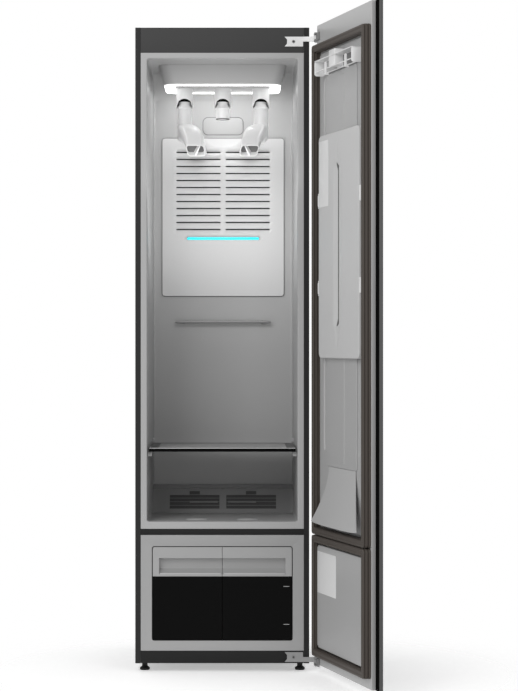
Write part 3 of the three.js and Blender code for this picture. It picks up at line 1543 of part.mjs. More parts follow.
// The outline of the scroll, grown by an amount: a spiral that opens into a neck pointing up.
function scrollShape(grow, neckTop) {
  const b = blower;
  const shape = new THREE.Shape();
  for (let i = 0; i <= fine.scroll; i += 1) {
    const share = i / fine.scroll;
    const r = b.startRadius + b.spread * share + grow;
    const angle = 2 * Math.PI * (b.startTurn + b.turns * share);
    const point = [b.x + r * Math.cos(angle), b.z + r * Math.sin(angle)];
    if (i === 0) shape.moveTo(...point);
    else shape.lineTo(...point);
  }
  const outerX = b.x + b.startRadius + b.spread + grow;
  shape.lineTo(outerX, neckTop);
  shape.lineTo(b.x + b.neckInner - grow, neckTop);
  shape.closePath();
  return shape;
}

function blowerHousing() {
  const b = blower;
  const top = duct.low - fit.seat;
  const shell = prism("y", scrollShape(0, top), b.front, b.rear);
  const inside = prism("y", scrollShape(-b.wall, top + fit.overrun), b.front + b.wall, b.rear - b.wall);
  const eye = round("y", b.x, b.z, b.eye, b.front - fit.overrun, b.front + b.wall + fit.overrun, fine.middle);
  const legs = [-1, 1].map((side) => {
    const x = b.x + side * b.legOffset;
    return block(x - b.legWidth / 2, x + b.legWidth / 2, b.front, b.rear, machineFloor, b.z - b.startRadius);
  });
  const motor = round("y", b.x, b.z, b.motorRadius, b.rear - b.wall / 2, b.rear + b.motorLength, fine.middle);
  const bore = round("y", b.x, b.z, wheel.shaft + fit.running, b.rear - 2 * b.wall, wheel.shaftEnd + fit.running);
  return cut(join(shell, ...legs, motor), inside, eye, bore);
}

function blowerWheel() {
  const w = wheel;
  const back = round("y", 0, 0, w.radius, w.rear - w.rimThickness, w.rear, fine.middle);
  const rim = prism("y", ringShape(disc(0, 0, w.radius), disc(0, 0, w.radius - w.rimWidth)), w.front,
    w.front + w.rimThickness, { curveSegments: fine.round / 2 });
  const hub = round("y", 0, 0, w.hub, w.rear - w.hubLength, w.rear);
  const shaft = round("y", 0, 0, w.shaft, w.rear - w.hubLength, w.shaftEnd);
  const blades = Array.from({ length: w.blades }, (_, i) => {
    const blade = new THREE.BoxGeometry(w.radius - w.bladeInner - fit.seat, w.rear - w.front - w.rimThickness,
      w.bladeThickness);
    blade.rotateY(THREE.MathUtils.degToRad(w.bladePitch));
    blade.translate((w.radius + w.bladeInner) / 2 - w.rimWidth / 3, (w.rear + w.front) / 2, 0);
    blade.rotateY((i * 2 * Math.PI) / w.blades);
    return solid(blade);
  });
  return join(back, rim, hub, shaft, ...blades);
}

function compressorBody() {
  const c = compressor;
  const low = machineFloor + c.belt;
  const can = turned([
    [0, low],
    [c.baseRadius, low],
    [c.radius, low + c.dome / 2],
    [c.radius, low + c.height / 2],
    [c.radius + c.belt, low + c.height / 2],
    [c.radius + c.belt, low + c.height / 2 + c.beltHeight],
    [c.radius, low + c.height / 2 + c.beltHeight],
    [c.radius, low + c.height - c.dome],
    [c.shoulderRadius, low + c.height - c.dome / 3],
    [c.crownRadius, low + c.height],
    [0, low + c.height],
  ], c.x, c.y, fine.middle);
  const legs = [0, 1, 2].map((i) => {
    const leg = new THREE.BoxGeometry(c.legReach, c.leg, c.belt * 2);
    leg.translate(c.legReach / 2, 0, machineFloor + c.belt);
    leg.rotateZ(Math.PI / 2 + (i * 2 * Math.PI) / 3);
    leg.translate(c.x, c.y, 0);
    return solid(leg);
  });
  return join(can, ...legs);
}

function finnedBlock() {
  const e = exchanger;
  const low = machineFloor;
  const pitch = (e.right - e.left - e.fin) / (e.fins - 1);
  const points = [[e.right, low], [e.right, low + e.height]];
  for (let i = e.fins - 1; i >= 0; i -= 1) {
    const x = e.left + i * pitch;
    if (i < e.fins - 1) points.push([x + e.fin, low + e.base], [x + e.fin, low + e.height]);
    points.push([x, low + e.height]);
    if (i > 0) points.push([x, low + e.base]);
  }
  points.push([e.left, low]);
  return prism("y", outline(points.reverse()), e.front, e.rear);
}

function steamBoiler() {
  const s = steamer;
  const low = machineFloor;
  const tub = block(s.left + s.lidInset, s.right - s.lidInset, s.front + s.lidInset, s.rear - s.lidInset, low,
    low + s.height);
  const lid = block(s.left, s.right, s.front, s.rear, low + s.height - s.lid, low + s.height);
  const stub = round("z", (s.left + s.right) / 2, (s.front + s.rear) / 2, s.stub, low + s.height - s.lid,
    low + s.height + s.stubRise);
  return join(tub, lid, stub);
}

function pumpBody() {
  const p = pump;
  const can = round("y", p.x, p.z, p.radius, p.front, p.rear, fine.middle);
  const cap = round("y", p.x, p.z, p.capRadius, p.front - p.cap, p.rear + p.cap, fine.middle);
  const base = block(p.x - p.footWidth / 2, p.x + p.footWidth / 2, p.front + p.cap, p.rear - p.cap, machineFloor, p.z);
  return join(can, cap, base);
}

function controlBox() {
  const c = controls;
  const shell = block(c.left, c.right, c.front, c.rear, c.high - c.height, c.high);
  const lid = block(c.left - c.rib, c.right, c.front - c.rib, c.rear + c.rib, c.high - c.lid, c.high);
  return join(shell, lid);
}

// Assembly

add(object, "left_side_panel", sidePanel(-1), finish.graphite);
add(object, "right_side_panel", sidePanel(1), finish.graphite);
add(object, "top_panel", topPanel(), finish.graphite);
add(object, "rear_panel", rearCover(), finish.zinc);
add(object, "base_tray", baseTray(), finish.zinc);
add(object, "top_fascia", frontRail(rimHigh, cabinet.height - cabinet.sheet - fit.seat), finish.graphite);
add(object, "divider_rail", frontRail(dividerLow + fit.seat, rimLow - fit.seat), finish.darkRail);
add(object, "plinth_rail", frontRail(cabinet.footClearance, plinthTop - fit.seat), finish.darkRail);
for (const [place, x, y] of footPlaces()) {
  add(group(object, { x, y }), `levelling_foot_${place}`, levellingFoot(), finish.blackPlastic);
}

add(object, "chamber_liner", chamberLiner(), finish.liner);
add(object, "foam_insulation", insulation(), finish.foam);
add(object, "ceiling_housing", ceilingHousing(), finish.panelGrey);
add(object, "ceiling_light_ring", ceilingRing(), finish.glow);
add(object, "rear_air_panel", rearAirPanel(), finish.liner);
add(object, "rear_light_bar", cyanBar(), finish.cyan);
add(object, "rear_rail", hangRail(), finish.steel);

const sockets = { left: -socket.pitch, centre: 0, right: socket.pitch };
for (const [place, x] of Object.entries(sockets)) {
  add(group(object, { x, y: socket.y }), `nozzle_socket_${place}`, nozzleSocket(), finish.white);
}
add(group(object, { x: sockets.centre, y: socket.y }), "centre_nozzle", centreNozzle(), finish.white);
for (const [place, side] of [["left", -1], ["right", 1]]) {
  add(group(object, { x: sockets[place], y: socket.y }), `air_hanger_${place}`, airHanger(side), finish.white);
}

add(object, "shelf_frame", shelfFrame(), finish.blackPlastic);
add(object, "shelf_panel", shelfPanel(), finish.panelGrey);
add(object, "floor_unit_cover", floorCover(), finish.smoke);
add(object, "lint_filter_left", lintFilter(-1), finish.smoke);
add(object, "lint_filter_right", lintFilter(1), finish.smoke);

add(object, "lower_panel", lowerPanel(), finish.panelGrey);
for (const [name, side] of [["drain_tank", -1], ["supply_tank", 1]]) {
  add(object, `${name}_body`, tankBody(side), finish.tankBlack);
  add(object, `${name}_lid`, tankLid(side), finish.panelGrey);
}

add(object, "air_duct", airDuct(), finish.white);
add(object, "blower_housing", blowerHousing(), finish.blackPlastic);
add(group(object, { x: blower.x, z: blower.z }), "blower_wheel", blowerWheel(), finish.blackPlastic);
add(object, "compressor", compressorBody(), finish.blackPlastic);
add(object, "heat_exchanger", finnedBlock(), finish.finMetal);
add(object, "steam_generator", steamBoiler(), finish.steel);
add(object, "water_pump", pumpBody(), finish.blackPlastic);
add(object, "control_box", controlBox(), finish.white);

add(object, "hinge_plate_top", cabinetHinge(1, hinge.topZ), finish.steel);
add(object, "hinge_plate_bottom", cabinetHinge(-1, hinge.lowZ), finish.steel);

// The door's pieces are authored closed, inside a group that turns about the hinge axis.
const swing = group(object, { x: hinge.x, y: hinge.y, turnZ: THREE.MathUtils.degToRad(hinge.openAngle) });
const doorGroup = group(swing, { x: -hinge.x, y: -hinge.y });
add(doorGroup, "door_front_slab", frontSlab(), finish.graphite);
add(doorGroup, "door_foam", doorFoam(), finish.foam);
add(doorGroup, "door_inner_plate", innerPlate(), finish.liner);
add(doorGroup, "door_gasket_upper", gasketFrame(gasketFrames.upper), finish.rubber);
add(doorGroup, "door_gasket_lower", gasketFrame(gasketFrames.lower), finish.rubber);
add(doorGroup, "hinge_bracket_top", doorBracket(1, hinge.topZ), finish.steel);
add(doorGroup, "hinge_bracket_bottom", doorBracket(-1, hinge.lowZ), finish.steel);
add(doorGroup, "press_board", pressBacking(), finish.liner);
add(doorGroup, "press_plate", pressPlateBody(), finish.liner);
["upper", "lower"].forEach((place, i) => {
  add(doorGroup, `press_hinge_${place}`, pressHingeBody(pressHinge.middles[i]), finish.white);
});
add(doorGroup, "trouser_guide", trouserGuide(), finish.white);
add(doorGroup, "clip_bar", clipBarBody(), finish.white);
["near", "far"].forEach((place, i) => {
  add(doorGroup, `clip_lever_${place}`, clipLeverBody(clipLever.places[i]), finish.white);
});

// The object's origin is the middle of its box, on the floor.
object.updateMatrixWorld(true);
const box = new THREE.Box3().setFromObject(object, true);
const whole = new THREE.Group();
object.position.set(-(box.min.x + box.max.x) / 2, -(box.min.y + box.max.y) / 2, -box.min.z);
whole.add(object);
whole.updateMatrixWorld(true);

export default whole;
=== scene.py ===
"""Clothes care steam cabinet: the visible model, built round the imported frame.

Lengths in the classes are millimetres in the cabinet's own datum: x = 0 at its middle, y = 0 at its front
plane with +y to the rear, z = 0 on the floor. The door's pieces are written along the door instead: s from
its hinge edge, n out of its inner face, z up.
"""

import logging
import math
from collections.abc import Callable, Sequence
from dataclasses import dataclass
from enum import Enum
from functools import cache

import bmesh
import bpy
import numpy as np
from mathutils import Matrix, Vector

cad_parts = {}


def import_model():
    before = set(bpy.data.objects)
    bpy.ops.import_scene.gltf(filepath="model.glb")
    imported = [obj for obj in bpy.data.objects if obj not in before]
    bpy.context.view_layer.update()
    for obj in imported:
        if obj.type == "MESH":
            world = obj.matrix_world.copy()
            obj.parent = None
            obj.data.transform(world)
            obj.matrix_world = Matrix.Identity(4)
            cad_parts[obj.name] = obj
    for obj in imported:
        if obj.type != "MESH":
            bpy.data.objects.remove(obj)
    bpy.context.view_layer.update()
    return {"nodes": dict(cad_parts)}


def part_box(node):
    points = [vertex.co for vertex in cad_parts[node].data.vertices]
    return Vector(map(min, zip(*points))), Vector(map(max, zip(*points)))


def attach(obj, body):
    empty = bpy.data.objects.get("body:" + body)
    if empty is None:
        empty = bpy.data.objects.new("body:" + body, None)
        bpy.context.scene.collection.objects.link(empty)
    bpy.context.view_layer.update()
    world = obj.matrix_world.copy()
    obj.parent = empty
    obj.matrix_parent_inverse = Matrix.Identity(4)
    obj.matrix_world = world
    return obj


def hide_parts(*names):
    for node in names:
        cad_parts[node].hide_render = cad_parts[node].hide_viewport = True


log = logging.getLogger("cabinet")
Array = np.ndarray
Span = tuple[float, float]
Point = tuple[float, float, float]
Block = tuple[Span, Span, Span, float, float]
METRES = 0.001
TURN, QUARTER = 2 * math.pi, math.pi / 2
UPRIGHT, FLAT, ACROSS = (0, 2, 1), (0, 1, 2), (2, 0, 1)


# ---------------------------------------------------------------- datum


@dataclass(frozen=True)
class Datum:
    """Turns the cabinet's and the door's own coordinates into frame coordinates in metres."""

    middle: float
    front: float
    hinge_x: float = 270.0
    hinge_y: float = -28.0
    hinge_edge: float = 249.0
    door_face: float = -22.6
    open_angle: float = math.radians(105.0)

    def cabinet(self, points: Array) -> Array:
        """Moves points (x, y, z) of the cabinet into the frame."""
        return points * METRES + np.array([self.middle, self.front, 0.0])

    def door(self, points: Array) -> Array:
        """Moves points (s, n, z) of the open door into the frame.

        The door is turned by its open angle about the hinge axis: a plane rotation of (x, y).

        Args:
            points: an array whose last axis is (s, n, z), in millimetres.

        Returns:
            The points in metres.
        """
        x = self.hinge_edge - points[..., 0] - self.hinge_x
        y = self.door_face + points[..., 1] - self.hinge_y
        c, s = math.cos(self.open_angle), math.sin(self.open_angle)
        turned_x, turned_y = self.hinge_x + c * x - s * y, self.hinge_y + s * x + c * y
        return self.cabinet(np.stack([turned_x, turned_y, points[..., 2]], axis=-1))


# ---------------------------------------------------------------- surfaces


@dataclass
class Surface:
    """Points with the faces that join them."""

    points: Array
    faces: list[tuple[int, ...]]

    @staticmethod
    def grid(points: Array, wrap_rows: bool = False, wrap_columns: bool = False, caps: bool = False) -> "Surface":
        """Joins a grid of points with four-sided faces.

        Args:
            points: an array of rows by columns by 3.
            wrap_rows: the last row also joins the first.
            wrap_columns: the last column also joins the first.
            caps: the first and the last row are each closed by one face.

        Returns:
            The surface.
        """
        rows, columns = points.shape[:2]
        r = np.arange(rows if wrap_rows else rows - 1)[:, None]
        c = np.arange(columns if wrap_columns else columns - 1)[None, :]
        r1, c1 = (r + 1) % rows, (c + 1) % columns
        quads = np.stack([r * columns + c, r * columns + c1, r1 * columns + c1, r1 * columns + c], axis=-1)
        faces = [tuple(q) for q in quads.reshape(-1, 4).tolist()]
        if caps:
            faces += [tuple(range(columns))[::-1], tuple(range((rows - 1) * columns, rows * columns))]
        return Surface(points.reshape(-1, 3), faces)

    @staticmethod
    def joined(parts: Sequence["Surface"]) -> "Surface":
        """Puts several surfaces into one.

        Args:
            parts: the surfaces.

        Returns:
            One surface with the faces of all.
        """
        faces: list[tuple[int, ...]] = []
        start = 0
        for part in parts:
            faces.extend(tuple(i + start for i in face) for face in part.faces)
            start += len(part.points)
        return Surface(np.concatenate([part.points for part in parts]), faces)

    def swapped(self, order: Sequence[int]) -> "Surface":
        """Gives the surface with its coordinates in another order."""
        return Surface(self.points[:, list(order)], self.faces)

    def moved(self, x: float, y: float) -> "Surface":
        """Gives the surface moved by (x, y)."""
        return Surface(self.points + np.array([x, y, 0.0]), self.faces)


def middle(span: Span) -> float:
    """Gives the middle of a span."""
    return (span[0] + span[1]) / 2


def half(span: Span) -> float:
    """Gives half the length of a span."""
    return (span[1] - span[0]) / 2


def between(span: Span, t: Array) -> Array:
    """Runs straight from a span's first number at t = 0 to its second at t = 1."""
    return span[0] + (span[1] - span[0]) * t


def circle(count: int) -> Array:
    """Gives the angles of evenly spread points round a circle."""
    return np.linspace(0.0, TURN, count, endpoint=False)


def quarter(count: int) -> Array:
    """Gives the angles of evenly spread points over a quarter circle, both ends included."""
    return np.linspace(0.0, QUARTER, count)


def rounded_loop(
    half_u: float | Array, half_v: float | Array, radius: float | Array, count: int = 8
) -> Array:
    """Works out rounded rectangles about the origin: four quarter circles joined by straight sides.

    Args:
        half_u: half the width, one number or one for each loop.
        half_v: half the height, likewise.
        radius: the corner radius, likewise.
        count: points in each corner.

    Returns:
        An array of loops by points by 2, counter-clockwise from the lower right corner.
    """
    hu, hv, r = (a[:, None, None] for a in np.broadcast_arrays(*map(np.atleast_1d, (half_u, half_v, radius))))
    sign_u = np.array([1.0, 1.0, -1.0, -1.0])[None, :, None]
    sign_v = np.array([-1.0, 1.0, 1.0, -1.0])[None, :, None]
    angle = np.array([-0.5, 0.0, 0.5, 1.0])[None, :, None] * math.pi + quarter(count)[None, None, :]
    u = sign_u * (hu - r) + r * np.cos(angle)
    v = sign_v * (hv - r) + r * np.sin(angle)
    return np.stack([u, v], axis=-1).reshape(len(hu), 4 * count, 2)


def inset_loops(u: Span, v: Span, inset: Array, radius: float, least: float, count: int) -> Array:
    """Draws a rounded outline in by each inset.

    Args:
        u: the outline's two ends along the first direction.
        v: its two ends along the second.
        inset: how far each loop is drawn in.
        radius: the outline's corner radius.
        least: no loop's corner radius is smaller.
        count: points in each corner.

    Returns:
        An array of loops by points by 2.
    """
    loops = rounded_loop(half(u) - inset, half(v) - inset, np.maximum(radius - inset, least), count)
    return loops + np.array([middle(u), middle(v)])


def with_level(loops: Array, level: Array) -> Array:
    """Gives loops of (u, v) a third coordinate, one for each loop."""
    third = np.broadcast_to(np.asarray(level, float)[:, None, None], loops.shape[:2] + (1,))
    return np.concatenate([loops, third], axis=-1)


def plate(u: Span, v: Span, w: Span, radius: float, edge: float, order: Sequence[int] = UPRIGHT) -> Surface:
    """Builds a flat piece with rounded corners and rounded edges.

    The rim turns by a quarter circle at each face with a straight side between, and both faces are closed.

    Args:
        u: its two ends along the first direction.
        v: its two ends along the second.
        w: its two faces along the third.
        radius: the corner radius of its outline.
        edge: the radius of its edges.
        order: how (u, v, w) become (x, y, z): UPRIGHT stands it up, FLAT lays it flat.

    Returns:
        The closed surface.
    """
    turn = quarter(4)
    inset = edge * np.concatenate([1.0 - np.sin(turn), 1.0 - np.cos(turn)])
    level = np.concatenate([w[0] + edge * (1.0 - np.cos(turn)), w[1] - edge * (1.0 - np.sin(turn))])
    loops = inset_loops(u, v, inset, radius, 0.05, 8)
    return Surface.grid(with_level(loops, level), wrap_columns=True, caps=True).swapped(order)


def stacked(blocks: Sequence[Block], heights: Sequence[float]) -> Surface:
    """Builds every upright block at every height; a block's second span is counted from that height."""
    return Surface.joined([plate(u, (z + low, z + high), *rest) for z in heights for u, (low, high), *rest in blocks])


def frame_sweep(profile: Sequence[Span] | Array, u: Span, v: Span, radius: float) -> Surface:
    """Carries a closed profile round an upright rounded rectangle.

    Args:
        profile: points of (inset from the outline, level).
        u: the outline's two ends across.
        v: its lower and upper end.
        radius: its corner radius.

    Returns:
        The closed ring.
    """
    inset, level = np.asarray(profile, float).T
    loops = inset_loops(u, v, inset, radius, 0.8, 7)
    return Surface.grid(with_level(loops, level), wrap_rows=True, wrap_columns=True).swapped(UPRIGHT)


def turned(profile: Sequence[Span] | Array, x: float, y: float, count: int = 64, ring: bool = False) -> Surface:
    """Turns a profile about the vertical: each point (r, z) becomes a circle of radius r at height z.

    Args:
        profile: points of (radius, height).
        x: the axis's place.
        y: the axis's place.
        count: points round each circle.
        ring: the profile is closed and stays off the axis.

    Returns:
        The surface; it is also closed where the profile starts and ends on the axis.
    """
    profile = np.asarray(profile, float)
    angle = circle(count)[None, :]
    r, z = profile[:, :1], np.broadcast_to(profile[:, 1:], (len(profile), count))
    points = np.stack([x + r * np.cos(angle), y + r * np.sin(angle), z], axis=-1)
    return Surface.grid(points, wrap_rows=ring, wrap_columns=True)


def fillet(points: Sequence[Span], radius: float, steps: int = 4) -> Array:
    """Rounds the corners of an open line of points.

    Each inner corner is replaced by a quadratic curve between points set back by the radius along both legs.

    Args:
        points: the line's corners.
        radius: the set-back at each corner, cut to 0.48 of the shorter leg where that is less.
        steps: points on each corner.

    Returns:
        An array of points by 2.
    """
    p = np.asarray(points, float)
    corner = p[1:-1]
    leg_a, leg_b = p[:-2] - corner, p[2:] - corner
    len_a, len_b = (np.linalg.norm(leg, axis=1, keepdims=True) for leg in (leg_a, leg_b))
    set_back = np.minimum(radius, 0.48 * np.minimum(len_a, len_b))
    a, b = corner + leg_a / len_a * set_back, corner + leg_b / len_b * set_back
    t = np.linspace(0.0, 1.0, steps)[None, :, None]
    curve = (1 - t) ** 2 * a[:, None] + 2 * t * (1 - t) * corner[:, None] + t**2 * b[:, None]
    return np.concatenate([p[:1], curve.reshape(-1, 2), p[-1:]])


def folded_sheet(points: Sequence[Span], thickness: float, bend: float, ends: Span, order: Sequence[int]) -> Surface:
    """Folds a sheet along a line and runs it straight between two ends.

    The line is filleted at its bends, set off by half the thickness to both sides along its normals, and the
    closed section so made is carried between the ends.

    Args:
        points: the corners of the sheet's middle line.
        thickness: of the sheet.
        bend: the set-back of each bend.
        ends: where the run starts and stops.
        order: how (u, v, run) become (x, y, z).

    Returns:
        The closed surface.
    """
    line = fillet(points, bend)
    along = np.gradient(line, axis=0)
    normal = np.stack([-along[:, 1], along[:, 0]], axis=-1)
    normal /= np.linalg.norm(normal, axis=1, keepdims=True)
    loop = np.concatenate([line + normal * thickness / 2, (line - normal * thickness / 2)[::-1]])
    surface = Surface.grid(with_level(np.stack([loop, loop]), np.array(ends)), wrap_columns=True)
    count = len(loop)
    start = np.arange(len(line) - 1)
    ladder = np.stack([start, start + 1, count - 2 - start, count - 1 - start], axis=-1)
    faces = [tuple(q) for q in ladder.tolist()] + [tuple(q) for q in (ladder + count)[:, ::-1].tolist()]
    return Surface(surface.points, surface.faces + faces).swapped(order)


def rail(path: Array, radius: float | Array, sides: int = 14) -> Surface:
    """Carries a circle along a path in space, square to the path's direction, with its ends closed.

    Args:
        path: an array of points by 3.
        radius: one number, or one for each point.
        sides: points round the circle.

    Returns:
        The closed surface.
    """
    along = np.gradient(path, axis=0)
    along /= np.linalg.norm(along, axis=1, keepdims=True)
    side = np.cross(along, [0.0, 0.0, 1.0])
    side /= np.linalg.norm(side, axis=1, keepdims=True)
    up = np.cross(side, along)
    angle = circle(sides)[None, :, None]
    r = np.broadcast_to(np.atleast_1d(radius), (len(path),))[:, None, None]
    points = path[:, None] + r * (np.cos(angle) * side[:, None] + np.sin(angle) * up[:, None])
    return Surface.grid(points, wrap_columns=True, caps=True)


def ramp(x: Array, span: Span) -> Array:
    """Rises from 0 at a span's first number to 1 at its second, level at both: 3t2 - 2t3 for t between them."""
    t = np.clip((x - span[0]) / (span[1] - span[0]), 0.0, 1.0)
    return t * t * (3.0 - 2.0 * t)


def dome(t: Array) -> Array:
    """Falls from 1 at t = 0 to 0 at t = 1 as a quarter circle: the root of one less t squared."""
    return np.sqrt(np.maximum(0.0, 1.0 - t**2))


def through(t: Array, places: Sequence[float], values: Sequence[float]) -> Array:
    """Runs a smooth curve through values at rising places.

    Between two places it is the cubic that has the values and the slopes of both, and each slope is that of the
    chord over the two neighbours.

    Args:
        t: where the curve is wanted.
        places: where the values stand.
        values: the values.

    Returns:
        The curve at t.
    """
    x, y = np.asarray(places, float), np.asarray(values, float)
    slope = np.gradient(y, x)
    i = np.clip(np.searchsorted(x, t, side="right") - 1, 0, len(x) - 2)
    step, rise = x[i + 1] - x[i], y[i + 1] - y[i]
    u = (t - x[i]) / step
    a, b = slope[i] * step - rise, rise - slope[i + 1] * step
    return y[i] + rise * u + u * (1 - u) * (a * (1 - u) + b * u)


def depth_in(u: Array, v: Array, u_span: Span, v_span: Span, radius: float) -> Array:
    """Says how far points lie inside a rounded rectangle; it is negative outside.

    The distance is that of a point to the rectangle shrunk by the radius, taken from the radius.

    Args:
        u: the points' first coordinates.
        v: their second ones.
        u_span: the rectangle's two ends along the first direction.
        v_span: its two ends along the second.
        radius: its corner radius.

    Returns:
        The depths.
    """
    du = np.abs(u - middle(u_span)) - (half(u_span) - radius)
    dv = np.abs(v - middle(v_span)) - (half(v_span) - radius)
    outside = np.hypot(np.maximum(du, 0.0), np.maximum(dv, 0.0))
    return radius - outside - np.minimum(np.maximum(du, dv), 0.0)


def marks(span: Span, step: float, *features: Span) -> Array:
    """Spaces points over a span, closer round each feature.

    Args:
        span: the first and the last point.
        step: the usual spacing.
        features: (place, reach) of lines that need close points.

    Returns:
        The sorted places.
    """
    sets = [np.linspace(span[0], span[1], max(2, round((span[1] - span[0]) / step)))]
    sets += [place + reach * np.linspace(-1.0, 1.0, 9) for place, reach in features]
    joined = np.unique(np.round(np.concatenate(sets), 3))
    return joined[(joined >= span[0]) & (joined <= span[1])]


@dataclass(frozen=True)
class Step:
    """A rounded rectangle on a moulded plate whose face rises by a height over a span of depths at its edge."""

    u: Span
    v: Span
    radius: float
    edge: Span
    rise: float

    def lift(self, u: Array, v: Array) -> Array:
        """Gives how far the step lifts the face."""
        return self.rise * ramp(depth_in(u, v, self.u, self.v, self.radius), self.edge)


def stepped(level: float, steps: Sequence[Step]) -> Callable[[Array, Array], Array]:
    """Gives the face that starts at a level and is lifted by each step."""
    return lambda u, v: level + sum(step.lift(u, v) for step in steps)


def relief(u: Array, v: Array, base: float, height: Callable[[Array, Array], Array], radius: float = 0.0) -> Surface:
    """Builds an upright plate whose face is a height over a grid, with straight sides and a flat back.

    Rows near the two ends are narrowed, so that the outline has rounded corners: the half-width there is
    the full one less the radius plus the root of radius squared minus the row's overshoot squared.

    Args:
        u: the grid's columns.
        v: the grid's rows.
        base: the level of the flat back.
        height: the level of the face at (u, v).
        radius: the corner radius.

    Returns:
        The closed surface.
    """
    u_span, v_span = (u[0], u[-1]), (v[0], v[-1])
    over = np.maximum(np.abs(v - middle(v_span)) - (half(v_span) - radius), 0.0)
    narrow = (half(u_span) - radius + np.sqrt(np.maximum(radius**2 - over**2, 0.0))) / half(u_span)
    grid_u = middle(u_span) + (u - middle(u_span))[None, :] * narrow[:, None]
    grid_v = np.broadcast_to(v[:, None], grid_u.shape)
    face = Surface.grid(np.stack([grid_u, grid_v, height(grid_u, grid_v)], axis=-1))
    start = grid_u.size
    index = np.arange(start).reshape(grid_u.shape)
    border = np.concatenate([index[0], index[1:, -1], index[-1, -2::-1], index[-2:0:-1, 0]])
    low = face.points[border].copy()
    low[:, 2] = base
    count = len(border)
    i = np.arange(count)
    sides = np.stack([border, start + i, start + (i + 1) % count, np.roll(border, -1)], axis=-1)
    faces = face.faces + [tuple(q) for q in sides.tolist()] + [tuple(range(start, start + count))[::-1]]
    return Surface(np.concatenate([face.points, low]), faces).swapped(UPRIGHT)


# ---------------------------------------------------------------- finishes


def linear(grey: float | Point) -> tuple[float, float, float, float]:
    """Turns a display colour, one grey or three parts from 0 to 1, into the linear colour that shaders take.

    Args:
        grey: the display colour.

    Returns:
        The linear red, green and blue, and an alpha of 1.
    """
    parts = (grey, grey, grey) if isinstance(grey, (int, float)) else grey
    values = [c / 12.92 if c <= 0.04045 else ((c + 0.055) / 1.055) ** 2.4 for c in parts]
    return values[0], values[1], values[2], 1.0


@dataclass
class Graph:
    """Adds nodes to one tree and joins them."""

    tree: bpy.types.NodeTree

    def fill(self, node: bpy.types.Node, inputs: dict[str | int, object]) -> None:
        """Gives a node's sockets their constants and links.

        Args:
            node: whose inputs are filled.
            inputs: each socket with its constant, or with the output socket that feeds it.
        """
        for socket, value in inputs.items():
            if isinstance(value, bpy.types.NodeSocket):
                self.tree.links.new(value, node.inputs[socket])
            else:
                node.inputs[socket].default_value = value

    def add(self, kind: str, inputs: dict[str | int, object], **settings: object) -> bpy.types.Node:
        """Adds a node.

        Args:
            kind: its type, without the word ShaderNode.
            inputs: as for fill.
            settings: its own properties.

        Returns:
            The node.
        """
        node = self.tree.nodes.new(f"ShaderNode{kind}")
        for name, value in settings.items():
            setattr(node, name, value)
        self.fill(node, inputs)
        return node

    def math(self, operation: str, *values: object) -> bpy.types.NodeSocket:
        """Adds a math node on constants and output sockets, and gives its result."""
        return self.add("Math", dict(enumerate(values)), operation=operation).outputs[0]

    def shade(self, color: object, tone: object) -> bpy.types.NodeSocket:
        """Multiplies a colour by a tone."""
        return self.add("VectorMath", {0: color, "Scale": tone}, operation="SCALE").outputs["Vector"]


def new_group(
    name: str, inputs: dict[str, object], outputs: Sequence[str]
) -> tuple[Graph, Sequence[bpy.types.NodeSocket], bpy.types.Node]:
    """Makes an empty node group with named sockets.

    Args:
        name: the group's name.
        inputs: socket name to its default: a number, a colour, or None for a vector.
        outputs: socket names: Color is a colour and each other one a number.

    Returns:
        The group's graph, the sockets that bring its inputs, and the node that takes its outputs.
    """
    tree = bpy.data.node_groups.new(name, "ShaderNodeTree")
    for label, value in inputs.items():
        kind = {float: "Float", tuple: "Color"}.get(type(value), "Vector")
        socket = tree.interface.new_socket(name=label, in_out="INPUT", socket_type=f"NodeSocket{kind}")
        if value is not None:
            socket.default_value = value
    for label in outputs:
        kind = "Color" if label == "Color" else "Float"
        tree.interface.new_socket(name=label, in_out="OUTPUT", socket_type=f"NodeSocket{kind}")
    return Graph(tree), tree.nodes.new("NodeGroupInput").outputs, tree.nodes.new("NodeGroupOutput")


@cache
def speckle() -> bpy.types.NodeTree:
    """Makes a moulded or sprayed skin: a broad drift of tone and roughness, and a fine bump.

    Returns:
        The node group.
    """
    graph, given, sink = new_group(
        "Speckled skin",
        {"Vector": None, "Color": (0.5, 0.5, 0.5, 1.0), "Drift": 0.04, "Grain scale": 900.0, "Roughness": 0.4,
         "Roughness spread": 0.05},
        ("Color", "Roughness", "Height"))
    broad = graph.add("TexNoise", {"Vector": given["Vector"], "Scale": 3.5, "Detail": 3.0})
    fine = graph.add("TexNoise", {"Vector": given["Vector"], "Scale": given["Grain scale"], "Detail": 2.0})
    centred = graph.math("SUBTRACT", broad.outputs["Fac"], 0.5)
    tone = graph.math("ADD", graph.math("MULTIPLY", centred, given["Drift"]), 1.0)
    graph.fill(sink, {
        "Color": graph.shade(given["Color"], tone),
        "Roughness": graph.math("MULTIPLY_ADD", centred, given["Roughness spread"], given["Roughness"]),
        "Height": fine.outputs["Fac"],
    })
    return graph.tree


@cache
def brush() -> bpy.types.NodeTree:
    """Makes the lines of a brushed metal: noise drawn out along one direction.

    Returns:
        The node group.
    """
    graph, given, sink = new_group(
        "Brushed lines",
        {"Vector": None, "Color": (0.6, 0.6, 0.6, 1.0), "Contrast": 0.12, "Roughness": 0.3, "Roughness spread": 0.12},
        ("Color", "Roughness", "Height"))
    stretch = graph.add("Mapping", {"Vector": given["Vector"], "Scale": (40.0, 900.0, 900.0)})
    lines = graph.add("TexNoise", {"Vector": stretch.outputs["Vector"], "Scale": 1.0, "Detail": 4.0}).outputs["Fac"]
    graph.fill(sink, {
        "Color": graph.shade(given["Color"], graph.math("MULTIPLY_ADD", lines, given["Contrast"], 0.94)),
        "Roughness": graph.math("MULTIPLY_ADD", lines, given["Roughness spread"], given["Roughness"]),
        "Height": lines,
    })
    return graph.tree


